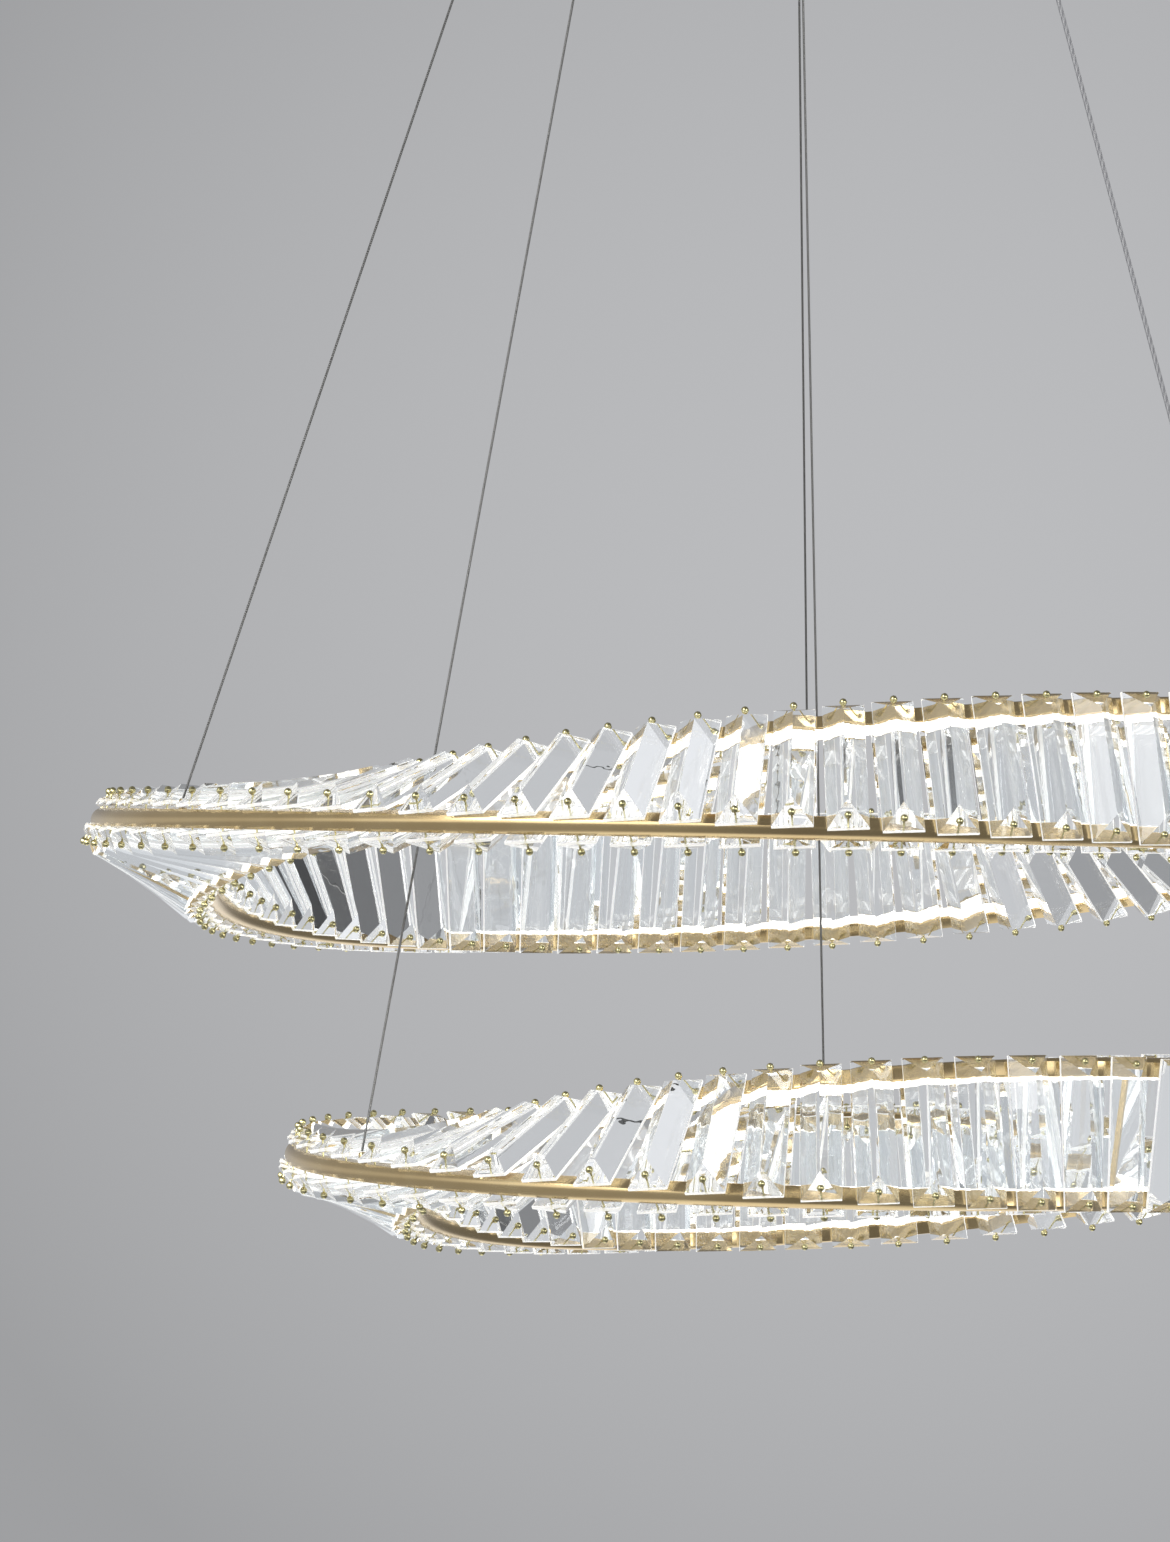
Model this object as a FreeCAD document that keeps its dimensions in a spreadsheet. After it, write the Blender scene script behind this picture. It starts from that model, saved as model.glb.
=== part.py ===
import FreeCAD, Part

import math
import os

import Sketcher

# A two-tier ring chandelier. Each ring is a band that twists once about its own
# centre line on the way round: two closed rails, one at each edge of the band, with
# a layer of hip-ended crystal bars across both faces. Three wires from a round
# ceiling canopy carry each ring, and a cable gripper at each wire's top sets its
# length. The origin is on the ceiling, at the middle of the canopy, with +Z up.
# Angles round the rings are in degrees from +X.

SIZES = [
    ("plate_side", 120.0, "square middle of the ceiling bracket"),
    ("plate_thick", 2.0, "bracket sheet"),
    ("bar_width", 30.0, "width of the bracket's long arms"),
    ("ear_drop", 22.0, "how far the bracket's bent ears reach down"),
    ("ceiling_hole_radius", 2.75, "clearance for a ceiling screw"),
    ("ceiling_hole_spacing", 160.0, "between the two ceiling screws"),
    ("supply_hole_radius", 10.0, "way in for the supply cable"),
    ("cover_radius", 130.0, "outside of the canopy cover"),
    ("cover_depth", 42.0, "from the ceiling to the cover's underside"),
    ("cover_wall", 1.2, "spun sheet of the cover"),
    ("cover_corner", 6.0, "outside bend of the cover"),
    ("ceiling_gap", 0.5, "between the cover's rim and the ceiling"),
    ("side_screw_radius", 2.0, "shank of the screws that hold the cover"),
    ("side_screw_drop", 13.0, "from the ceiling to those screws"),
    ("side_head_radius", 5.0, "knurled head of a side screw"),
    ("side_head_length", 6.0, "knurled head of a side screw"),
    ("side_screw_past", 2.0, "end of a side screw inside its ear"),
    ("screw_clearance", 0.1, "round a screw in its hole"),
    ("ear_clearance", 0.3, "between an ear's corners and the cover"),
    ("driver_length", 96.0, "case of an LED driver"),
    ("driver_width", 32.0, "case of an LED driver"),
    ("driver_height", 22.0, "case of an LED driver"),
    ("driver_lug", 6.0, "mounting lug past each end of the case"),
    ("lug_thick", 2.0, "mounting lug"),
    ("driver_offset", 40.0, "from the middle to a driver's centre line"),
    ("terminal_length", 30.0, "supply terminal block"),
    ("terminal_width", 16.0, "supply terminal block"),
    ("terminal_height", 14.0, "supply terminal block"),
    ("terminal_offset", 36.0, "from the middle to the terminal block's centre"),
    ("entry_side", 4.0, "square wire entry of the terminal block"),
    ("entry_depth", 8.0, "wire entry of the terminal block"),
    ("upper_exit_radius", 100.0, "where the upper ring's wires leave the canopy"),
    ("lower_exit_radius", 76.0, "where the lower ring's wires leave the canopy"),
    ("first_exit_angle", 90.0, "azimuth of the rear wires"),
    ("neck_radius", 4.9, "threaded neck of a cable gripper"),
    ("neck_length", 10.0, "neck above the canopy's inside face"),
    ("neck_clearance", 0.15, "round the neck in the cover"),
    ("collar_radius", 7.0, "gripper's collar under the cover"),
    ("collar_thick", 2.5, "gripper's collar"),
    ("barrel_radius", 5.5, "gripper's barrel"),
    ("barrel_length", 18.0, "gripper's barrel under its collar"),
    ("plunger_radius", 3.4, "stem of the release plunger"),
    ("plunger_depth", 11.0, "stem inside the barrel"),
    ("plunger_clearance", 0.2, "round the stem"),
    ("button_radius", 4.8, "press end of the plunger"),
    ("button_length", 4.0, "press end of the plunger"),
    ("plunger_travel", 2.0, "press of the plunger"),
    ("spring_room", 4.0, "room for the pressed spring above the stem"),
    ("spring_wire", 0.8, "wall of the sleeve that the spring fills"),
    ("spring_seat", 0.1, "at each end of the spring"),
    ("wire_bore_radius", 1.4, "wire passage through gripper and plunger"),
    ("mouth_depth", 2.6, "wider mouth at the plunger's lower end"),
    ("mouth_radius", 3.8, "wider mouth at the plunger's lower end"),
    ("nut_flats", 14.0, "locknut across its flats"),
    ("nut_thick", 4.0, "locknut"),
    ("wire_radius", 0.6, "steel suspension wire"),
    ("cable_radius", 1.2, "suspension cable that also carries the current"),
    ("wire_tail", 6.0, "wire above the gripper's neck"),
    ("upper_radius", 358.0, "centre line of the upper ring's band"),
    ("upper_drop", 780.0, "ceiling to the middle of the upper ring"),
    ("upper_twist", 36.0, "band angle of the upper ring at azimuth 0"),
    ("upper_first_gap", 212.8, "azimuth of the gap that holds the left wire"),
    ("upper_gap", 1.3, "least space between crystals at the inner rim"),
    ("lower_radius", 259.0, "centre line of the lower ring's band"),
    ("lower_drop", 952.0, "ceiling to the middle of the lower ring"),
    ("lower_twist", 25.0, "band angle of the lower ring at azimuth 0"),
    ("lower_first_gap", 212.9, "azimuth of the gap that holds the left wire"),
    ("lower_gap", 0.6, "least space between crystals at the inner rim"),
    ("rail_thick", 9.5, "rail across the band's faces"),
    ("rail_depth", 8.0, "rail from its outer to its inner face"),
    ("strip_width", 6.0, "LED strip on its board"),
    ("strip_thick", 1.2, "LED strip on its board"),
    ("strip_lift", 0.1, "glue line under the strip"),
    ("crystal_length", 81.0, "crystal bar"),
    ("rail_inset", 1.5, "from a crystal's end in to the rail"),
    ("crystal_width", 20.5, "crystal bar"),
    ("crystal_height", 12.0, "from the flat back to the ridge"),
    ("crystal_hip", 12.0, "how far the hipped end runs in"),
    ("crystal_clearance", 0.3, "between a crystal's back and the rails"),
    ("strut_thick", 2.6, "cross bar along the ring"),
    ("strut_joint", 0.1, "weld line at a cross bar's ends"),
    ("strut_notch_room", 0.4, "beside an LED strip in the bar's notch"),
    ("upper_strut_pitches", 23.0, "crystals from the left wire's gap to the cross bar's"),
    ("lower_strut_pitches", 16.0, "crystals from the left wire's gap to the cross bar's"),
    ("anchor_radius", 2.4, "post that a wire ends in"),
    ("anchor_length", 5.0, "post that a wire ends in"),
    ("anchor_inset", 5.5, "from a rail's back to the post on its side"),
    ("anchor_seat", 0.3, "under the post, on the twisted rail"),
    ("wire_seat", 0.2, "between a wire's end and its post or plunger"),
]

WIRES_PER_RING = 3
LOOP_POINTS = 36
TURNED_COUNT = 8
WIRE_COUNT = 8
SEAT_STEPS = 24

doc = FreeCAD.newDocument("ring_chandelier")
sheet = doc.addObject("Spreadsheet::Sheet", "sizes")
for row, (alias, value, note) in enumerate(SIZES, start=1):
    sheet.set(f"A{row}", note)
    sheet.set(f"B{row}", str(value))
    sheet.setAlias(f"B{row}", alias)
doc.recompute()
parts = []


def size(alias):
    """A value of the sheet."""
    return float(sheet.get(alias))


def bound(expression):
    """An expression whose <names> are those of the sheet's cells."""
    return expression.replace("<", "sizes.").replace(">", "")


def number(expression):
    """What an expression of the sheet's values comes to."""
    return float(sheet.evalExpression(bound(expression)))


def keep(piece, label):
    """Lists a finished sub-part under the name of its file."""
    piece.Label = label
    parts.append(piece)
    return piece


# ---- drawing helpers: sketches whose corners are tied to the sheet


def new_body(name):
    return doc.addObject("PartDesign::Body", name)


def origin_feature(body, role):
    return next(f for f in body.Origin.OriginFeatures if f.Role == role)


def new_sketch(body, name, plane):
    sketch = body.newObject("Sketcher::SketchObject", name)
    sketch.AttachmentSupport = [(origin_feature(body, plane), "")]
    sketch.MapMode = "FlatFace"
    return sketch


def place_point(sketch, geometry, position, corner):
    """Holds one point of the sketch at two expressions of the sheet's values."""
    kinds = (("DistanceX", -2), ("DistanceY", -1))
    for (kind, axis), expression in zip(kinds, corner):
        if expression == "0":
            sketch.addConstraint(Sketcher.Constraint("PointOnObject", geometry, position, axis))
        else:
            index = sketch.addConstraint(
                Sketcher.Constraint(kind, geometry, position, number(expression))
            )
            sketch.setExpression(f"Constraints[{index}]", bound(expression))


def draw_outline(sketch, corners):
    """A closed outline of straight edges through the corners."""
    points = [FreeCAD.Vector(number(x), number(y), 0) for x, y in corners]
    first = sketch.GeometryCount
    count = len(points)
    for i in range(count):
        sketch.addGeometry(Part.LineSegment(points[i], points[(i + 1) % count]), False)
    for i in range(count):
        ends = (first + i, 2, first + (i + 1) % count, 1)
        sketch.addConstraint(Sketcher.Constraint("Coincident", *ends))
        place_point(sketch, first + i, 1, corners[i])


def draw_circle(sketch, centre, radius):
    """A circle with its centre and radius tied to the sheet."""
    point = FreeCAD.Vector(number(centre[0]), number(centre[1]), 0)
    circle = Part.Circle(point, FreeCAD.Vector(0, 0, 1), number(radius))
    geometry = sketch.addGeometry(circle, False)
    index = sketch.addConstraint(Sketcher.Constraint("Radius", geometry, number(radius)))
    sketch.setExpression(f"Constraints[{index}]", bound(radius))
    place_point(sketch, geometry, 3, centre)


def rectangle(half_x, half_y, middle_x="0", middle_y="0"):
    """Corners of a rectangle about a middle, all as expressions."""
    signs = ((-1, -1), (1, -1), (1, 1), (-1, 1))
    return [
        (f"{middle_x} + ({sx}) * ({half_x})", f"{middle_y} + ({sy}) * ({half_y})")
        for sx, sy in signs
    ]


def pad(body, name, sketch, length, down=True):
    feature = body.newObject("PartDesign::Pad", name)
    feature.Profile = sketch
    feature.setExpression("Length", bound(length))
    feature.Reversed = down
    return feature


def cut_through(body, name, sketch, both_ways=False):
    feature = body.newObject("PartDesign::Pocket", name)
    feature.Profile = sketch
    feature.Type = "ThroughAll"
    feature.Midplane = both_ways
    return feature


def turn(body, name, sketch):
    feature = body.newObject("PartDesign::Revolution", name)
    feature.Profile = sketch
    feature.ReferenceAxis = (sketch, ["V_Axis"])
    feature.Angle = 360
    return feature


def turned_body(name, corners):
    """A body of revolution about Z, from corners of radius and height."""
    body = new_body(name)
    sketch = new_sketch(body, name + "_profile", "XZ_Plane")
    draw_outline(sketch, corners)
    turn(body, name + "_turned", sketch)
    return body


def upright_bar(name, sides, radius, length, foot="0"):
    """A bar along Z of so many sides, with its foot at a height, all from the sheet."""
    piece = doc.addObject("Part::Prism", name)
    piece.Polygon = sides
    piece.setExpression("Circumradius", bound(radius))
    piece.setExpression("Height", bound(length))
    piece.setExpression("Placement.Base.z", bound(foot))
    return piece


def joined(name, pieces):
    whole = doc.addObject("Part::MultiFuse", name)
    whole.Shapes = pieces
    whole.Refine = True
    return whole


def bored(name, outside, bores):
    """The outside with every bore taken out of it."""
    for i, bore in enumerate(bores):
        cut = doc.addObject("Part::Cut", f"{name}_{i}")
        cut.Base, cut.Tool = outside, bore
        outside = cut
    return outside


def placed_copies(label, shape, placements):
    """One node that holds a copy of a shape at each placement."""
    copies = []
    for placement in placements:
        copies.append(shape.transformed(placement.toMatrix()))
    piece = doc.addObject("Part::Feature", label)
    piece.Shape = Part.makeCompound(copies) if len(copies) > 1 else copies[0]
    return keep(piece, label)


def along(direction, point):
    """A placement that turns +Z to a direction and moves the origin to a point."""
    turned = FreeCAD.Rotation(FreeCAD.Vector(0, 0, 1), direction)
    return FreeCAD.Placement(point, turned)


# ---- ceiling bracket: flat sheet with two long arms and bent-down ears

ARM_REACH = "sqrt((<cover_radius> - <cover_wall>) ^ 2 - <bar_width> ^ 2 / 4) - <ear_clearance>"


def make_bracket():
    body = new_body("bracket_body")
    half, arm, reach = "<plate_side> / 2", "<bar_width> / 2", ARM_REACH
    outline = [
        (f"-({reach})", f"-{arm}"), (f"-{half}", f"-{arm}"), (f"-{half}", f"-{half}"),
        (half, f"-{half}"), (half, f"-{arm}"), (reach, f"-{arm}"),
        (reach, arm), (half, arm), (half, half),
        (f"-{half}", half), (f"-{half}", arm), (f"-({reach})", arm),
    ]
    sketch = new_sketch(body, "bracket_outline", "XY_Plane")
    draw_outline(sketch, outline)
    pad(body, "bracket_sheet", sketch, "<plate_thick>")
    ears = new_sketch(body, "ear_outline", "XY_Plane")
    for side in ("-1", "1"):
        middle = f"{side} * ({reach} - <plate_thick> / 2)"
        draw_outline(ears, rectangle("<plate_thick> / 2", arm, middle))
    pad(body, "bracket_ears", ears, "<ear_drop>")
    holes = new_sketch(body, "ceiling_holes", "XY_Plane")
    draw_circle(holes, ("0", "0"), "<supply_hole_radius>")
    for side in ("-1", "1"):
        draw_circle(holes, (f"{side} * <ceiling_hole_spacing> / 2", "0"), "<ceiling_hole_radius>")
    cut_through(body, "ceiling_hole_cuts", holes)
    tapped = new_sketch(body, "ear_holes", "YZ_Plane")
    draw_circle(tapped, ("0", "-<side_screw_drop>"), "<side_screw_radius> + <screw_clearance>")
    cut_through(body, "ear_hole_cuts", tapped, both_ways=True)
    return keep(body, "ceiling_bracket")


# ---- canopy cover: a spun dish with a hole for each gripper and each side screw


def make_cover():
    rim, inner, floor = "<cover_radius>", "<cover_radius> - <cover_wall>", "-<cover_depth> + <cover_wall>"
    bend, inner_bend = "<cover_corner>", "(<cover_corner> - <cover_wall> * (2 - sqrt(2)))"
    body = turned_body("cover_body", [
        ("0", "-<cover_depth>"), (f"{rim} - {bend}", "-<cover_depth>"),
        (rim, f"-<cover_depth> + {bend}"), (rim, "-<ceiling_gap>"), (inner, "-<ceiling_gap>"),
        (inner, f"{floor} + {inner_bend}"), (f"{inner} - {inner_bend}", floor), ("0", floor),
    ])
    exits = new_sketch(body, "exit_holes", "XY_Plane")
    for ring in ("upper", "lower"):
        centre = ("0", f"<{ring}_exit_radius>")
        draw_circle(exits, centre, "<neck_radius> + <neck_clearance>")
    first = cut_through(body, "exit_hole_cuts", exits)
    pattern = body.newObject("PartDesign::PolarPattern", "exit_hole_pattern")
    pattern.Originals = [first]
    pattern.Axis = (origin_feature(body, "Z_Axis"), [""])
    pattern.Angle = 360
    pattern.Occurrences = WIRES_PER_RING
    body.Tip = pattern
    sides = new_sketch(body, "side_screw_holes", "YZ_Plane")
    draw_circle(sides, ("0", "-<side_screw_drop>"), "<side_screw_radius> + <screw_clearance>")
    cut_through(body, "side_screw_cuts", sides, both_ways=True)
    return keep(body, "canopy_cover")


def make_side_screws():
    """Screws from outside through the cover into the bracket's ears."""
    ear_inside = f"({ARM_REACH}) - <plate_thick>"
    grip = f"<cover_radius> + <screw_clearance> + <side_screw_past> - ({ear_inside})"
    shank = upright_bar("side_shank", TURNED_COUNT, "<side_screw_radius>", grip, f"-({grip})")
    head = upright_bar("side_head", TURNED_COUNT, "<side_head_radius>", "<side_head_length>")
    screw = joined("side_screw", [shank, head])
    doc.recompute()
    reach = size("cover_radius") + size("screw_clearance")
    height = -size("side_screw_drop")
    spots = [
        along(FreeCAD.Vector(side, 0, 0), FreeCAD.Vector(side * reach, 0, height))
        for side in (-1, 1)
    ]
    return placed_copies("canopy_side_screws", screw.Shape, spots)


# ---- inside the canopy: two drivers and the supply terminal


def make_drivers():
    body = new_body("driver_body")
    lugs = new_sketch(body, "driver_base", "XY_Plane")
    draw_outline(lugs, rectangle("<driver_length> / 2 + <driver_lug>", "<driver_width> / 2"))
    pad(body, "driver_lugs", lugs, "<lug_thick>")
    case = new_sketch(body, "driver_case", "XY_Plane")
    draw_outline(case, rectangle("<driver_length> / 2", "<driver_width> / 2"))
    pad(body, "driver_case_pad", case, "<driver_height>")
    doc.recompute()
    for label, side in (("led_driver_upper", 1), ("led_driver_lower", -1)):
        spot = FreeCAD.Vector(0, side * size("driver_offset"), -size("plate_thick"))
        placed_copies(label, body.Shape, [FreeCAD.Placement(spot, FreeCAD.Rotation())])


def make_terminal():
    body = new_body("terminal_body")
    outline = new_sketch(body, "terminal_outline", "XY_Plane")
    draw_outline(outline, rectangle("<terminal_width> / 2", "<terminal_length> / 2"))
    pad(body, "terminal_block_pad", outline, "<terminal_height>")
    entry = new_sketch(body, "terminal_entry", "XY_Plane")
    face, half = "-<terminal_width> / 2", "<entry_side> / 2"
    middle = "-<terminal_length> / 3"
    draw_outline(entry, rectangle("<entry_depth>", half, face, middle))
    first = body.newObject("PartDesign::Pocket", "terminal_entry_cut")
    first.Profile = entry
    first.setExpression("Length", bound("<entry_side>"))
    pattern = body.newObject("PartDesign::LinearPattern", "terminal_entries")
    pattern.Originals = [first]
    pattern.Direction = (origin_feature(body, "Y_Axis"), [""])
    pattern.setExpression("Length", bound("<terminal_length> * 2 / 3"))
    pattern.Occurrences = 3
    body.Tip = pattern
    doc.recompute()
    spot = FreeCAD.Vector(size("terminal_offset"), 0, -size("plate_thick"))
    return placed_copies("supply_terminal", body.Shape, [FreeCAD.Placement(spot, FreeCAD.Rotation())])


# ---- cable grippers: neck and locknut in the cover, barrel and plunger below it


def exit_spots():
    """Where each wire leaves the canopy: name, azimuth and point on its underside."""
    spots = []
    for ring in ("upper", "lower"):
        for name, turns in (("rear", 0), ("left", 1), ("right", 2)):
            azimuth = size("first_exit_angle") + turns * 360 / WIRES_PER_RING
            radius = size(f"{ring}_exit_radius")
            x = radius * math.cos(math.radians(azimuth))
            y = radius * math.sin(math.radians(azimuth))
            spots.append((ring, name, FreeCAD.Vector(x, y, -size("cover_depth"))))
    return spots


def make_grippers():
    low = "-<collar_thick> - <barrel_length>"
    stem_room = "<plunger_depth> + <plunger_travel> + <plunger_clearance> + <spring_room>"
    neck_rise, nut_bore = "<cover_wall> + <neck_length>", "<neck_radius> + <neck_clearance>"
    outside = joined("gripper_outside", [
        upright_bar("gripper_neck", TURNED_COUNT, "<neck_radius>", neck_rise),
        upright_bar("gripper_collar", TURNED_COUNT, "<collar_radius>", "<collar_thick>", "-<collar_thick>"),
        upright_bar("gripper_barrel", TURNED_COUNT, "<barrel_radius>", "<barrel_length>", low),
    ])
    gripper = bored("gripper", outside, [
        upright_bar("gripper_bore", TURNED_COUNT, "<plunger_radius> + <plunger_clearance>", stem_room, low),
        upright_bar("gripper_wire_bore", TURNED_COUNT, "<wire_bore_radius>", f"{neck_rise} - ({low})", low),
    ])
    nut = bored("locknut", upright_bar("locknut_hexagon", 6, "<nut_flats> / sqrt(3)", "<nut_thick>"), [
        upright_bar("locknut_bore", TURNED_COUNT, nut_bore, "<nut_thick>"),
    ])
    doc.recompute()
    under = [FreeCAD.Placement(p, FreeCAD.Rotation()) for ring, name, p in exit_spots()]
    lift = FreeCAD.Vector(0, 0, size("cover_wall"))
    inside = [FreeCAD.Placement(p.Base + lift, FreeCAD.Rotation()) for p in under]
    placed_copies("cable_grippers", gripper.Shape, under)
    placed_copies("gripper_locknuts", nut.Shape, inside)


def plunger_foot():
    """Height of a plunger's lower end below the canopy's underside."""
    below = size("collar_thick") + size("barrel_length")
    return below + size("plunger_travel") + size("plunger_clearance") + size("button_length")


def make_plungers():
    """The sleeve that is pushed up to free the wire, with a wider mouth below."""
    stem = "<plunger_travel> + <plunger_clearance> + <plunger_depth>"
    outside = joined("plunger_outside", [
        upright_bar("plunger_button", TURNED_COUNT, "<button_radius>", "<button_length>"),
        upright_bar("plunger_stem", TURNED_COUNT, "<plunger_radius>", stem, "<button_length>"),
    ])
    plunger = bored("plunger", outside, [
        upright_bar("plunger_mouth", TURNED_COUNT, "<mouth_radius>", "<mouth_depth>"),
        upright_bar("plunger_bore", TURNED_COUNT, "<wire_bore_radius>", f"<button_length> + {stem}"),
    ])
    doc.recompute()
    for ring, name, spot in exit_spots():
        base = spot - FreeCAD.Vector(0, 0, plunger_foot())
        placement = FreeCAD.Placement(base, FreeCAD.Rotation())
        placed_copies(f"release_plunger_{ring}_{name}", plunger.Shape, [placement])


def make_springs():
    """The sleeve of space that each plunger's return spring fills above the stem."""
    length = "<plunger_travel> + <spring_room> - 2 * <spring_seat>"
    spring = bored("spring", upright_bar("spring_outside", TURNED_COUNT, "<plunger_radius>", length), [
        upright_bar("spring_inside", TURNED_COUNT, "<plunger_radius> - <spring_wire>", length),
    ])
    doc.recompute()
    stem_top = size("collar_thick") + size("barrel_length") - size("plunger_depth")
    for ring, name, spot in exit_spots():
        base = spot - FreeCAD.Vector(0, 0, stem_top - size("spring_seat"))
        placement = FreeCAD.Placement(base, FreeCAD.Rotation())
        placed_copies(f"gripper_spring_{ring}_{name}", spring.Shape, [placement])


# ---- the twisting band: where a point of a ring's band lies


class Ring:
    """One ring: its band's centre line, twist, crystals and wires."""

    def __init__(self, name):
        self.name = name
        self.radius = size(f"{name}_radius")
        self.height = -size(f"{name}_drop")
        self.twist = size(f"{name}_twist")
        self.first_gap = size(f"{name}_first_gap")
        self.count = self.fitting_count(size(f"{name}_gap"))
        self.pitch = 360 / self.count
        self.strut_gap = self.first_gap + round(size(f"{name}_strut_pitches")) * self.pitch

    def fitting_count(self, gap):
        """Most crystals, in three equal runs, that clear each other at the inner rim."""
        inner = self.radius - size("crystal_length") / 2
        count = math.floor(math.pi / math.asin((size("crystal_width") + gap) / 2 / inner))
        return count - count % WIRES_PER_RING

    def axes(self, azimuth):
        """Band axes at an azimuth: centre, across the band, out of its face, along it."""
        around, turned = math.radians(azimuth), math.radians(self.twist - azimuth)
        outward = FreeCAD.Vector(math.cos(around), math.sin(around), 0)
        onward = FreeCAD.Vector(-math.sin(around), math.cos(around), 0)
        upward = FreeCAD.Vector(0, 0, 1)
        centre = outward * self.radius + upward * self.height
        across = outward * math.cos(turned) + upward * math.sin(turned)
        face = outward * math.sin(turned) - upward * math.cos(turned)
        return centre, across, face, onward

    def point(self, azimuth, across_by, face_by):
        centre, across, face, onward = self.axes(azimuth)
        return centre + across * across_by + face * face_by

    def gap_centres(self, first):
        return [first + turns * 360 / WIRES_PER_RING for turns in range(WIRES_PER_RING)]


def band_edge():
    """From a band's middle to the outer face of either rail."""
    return size("crystal_length") / 2 - size("rail_inset")


def closed_band(ring, corners):
    """A closed solid whose section's corners follow the twisting band once round."""
    edges = []
    azimuths = [360 * i / LOOP_POINTS for i in range(LOOP_POINTS)]
    for across_by, face_by in corners:
        points = [ring.point(azimuth, across_by, face_by) for azimuth in azimuths]
        curve = Part.BSplineCurve()
        curve.interpolate(Points=points, PeriodicFlag=True, Parameters=azimuths + [360])
        edges.append(curve.toShape())
    pairs = zip(edges, edges[1:] + edges[:1])
    shell = Part.makeShell([Part.makeRuledSurface(a, b) for a, b in pairs])
    shell.sewShape()
    solid = Part.makeSolid(shell)
    if solid.Volume < 0:
        solid.reverse()
    return solid


def make_band_pieces(ring, label, section):
    """Two closed bars of one section, one on each edge of the band."""
    for name, side in (("a", -1), ("b", 1)):
        piece = doc.addObject("Part::Feature", f"{ring.name}_{label}_{name}")
        piece.Shape = closed_band(ring, [(side * across, face) for across, face in section])
        keep(piece, f"{ring.name}_{label}_{name}")


def make_rails(ring):
    """Two rails at the band's edges, and an LED strip with a ridged cover inside each."""
    outer, half = band_edge(), size("rail_thick") / 2
    inner = outer - size("rail_depth")
    make_band_pieces(ring, "rail", [(outer, -half), (outer, half), (inner, half), (inner, -half)])
    glued, side = inner - size("strip_lift"), size("strip_width") / 2
    ridge = (glued - size("strip_thick"), 0)
    make_band_pieces(ring, "led_strip", [(glued, -side), (glued, side), ridge])


# ---- crystals: one bar with a flat back, a ridge and hipped ends, set all round


def make_crystal():
    """The bar lies along X with its back on the XY plane."""
    bar = doc.addObject("Part::Wedge", "crystal_bar")
    bar.Ymin = 0
    bar.setExpression("Xmin", bound("-<crystal_length> / 2"))
    bar.setExpression("Xmax", bound("<crystal_length> / 2"))
    bar.setExpression("Zmin", bound("-<crystal_width> / 2"))
    bar.setExpression("Zmax", bound("<crystal_width> / 2"))
    bar.setExpression("Ymax", bound("<crystal_height>"))
    bar.setExpression("X2min", bound("<crystal_hip> - <crystal_length> / 2"))
    bar.setExpression("X2max", bound("<crystal_length> / 2 - <crystal_hip>"))
    bar.Z2min = bar.Z2max = 0
    doc.recompute()
    upright = FreeCAD.Rotation(FreeCAD.Vector(1, 0, 0), 90)
    return bar.Shape.transformed(FreeCAD.Placement(FreeCAD.Vector(), upright).toMatrix())


def seat_height(ring, azimuth, layer):
    """Height over the band's middle at which a crystal's flat back just clears both rails."""
    centre, across, face, onward = ring.axes(azimuth)
    half_width, side = size("crystal_width") / 2, size("rail_thick") / 2
    outer, inner = band_edge(), band_edge() - size("rail_depth")
    reach = math.degrees(math.asin(half_width / (ring.radius - outer)))
    highest = side
    for step in range(-SEAT_STEPS, SEAT_STEPS + 1):
        for across_by in (-outer, -inner, inner, outer):
            found = ring.point(azimuth + reach * step / SEAT_STEPS, across_by, layer * side) - centre
            if abs(found.dot(onward)) <= half_width:
                highest = max(highest, found.dot(face) * layer)
    return highest + size("crystal_clearance")


def make_crystal_layers(ring, crystal):
    """A layer of bars across each face of the band."""
    for name, layer in (("first", 1), ("second", -1)):
        copies = []
        for i in range(ring.count):
            azimuth = ring.first_gap + (i + 0.5) * ring.pitch
            centre, across, face, onward = ring.axes(azimuth)
            outward = face * layer
            turned = FreeCAD.Rotation(across, outward.cross(across), outward)
            foot = centre + outward * seat_height(ring, azimuth, layer)
            copies.append(crystal.transformed(FreeCAD.Placement(foot, turned).toMatrix()))
        piece = doc.addObject("Part::Feature", f"{ring.name}_crystals_{name}")
        piece.Shape = Part.makeCompound(copies)
        keep(piece, f"{ring.name}_crystals_{name}")


# ---- what joins a ring: cross bars, wire posts and the wires themselves


def centred_box(x_length, y_length, z_length):
    """A box about the origin."""
    corner = FreeCAD.Vector(-x_length / 2, -y_length / 2, -z_length / 2)
    return Part.makeBox(x_length, y_length, z_length, corner)


def make_struts(ring):
    """Upright bars that join the two rails, each in a gap, notched over the LED strips."""
    length = 2 * (band_edge() - size("rail_depth") - size("strut_joint"))
    notch = size("strip_lift") + size("strip_thick") + size("strut_joint")
    strip = size("strip_width") + 2 * size("strut_notch_room")
    bar = centred_box(length, size("rail_thick"), size("strut_thick"))
    for side in (-1, 1):
        slot = centred_box(notch * 2, strip, size("strut_thick"))
        slot.translate(FreeCAD.Vector(side * length / 2, 0, 0))
        bar = bar.cut(slot)
    spots = []
    for azimuth in ring.gap_centres(ring.strut_gap):
        centre, across, face, onward = ring.axes(azimuth)
        spots.append(FreeCAD.Placement(centre, FreeCAD.Rotation(across, face, across.cross(face))))
    return placed_copies(f"{ring.name}_struts", bar, spots)


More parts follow.
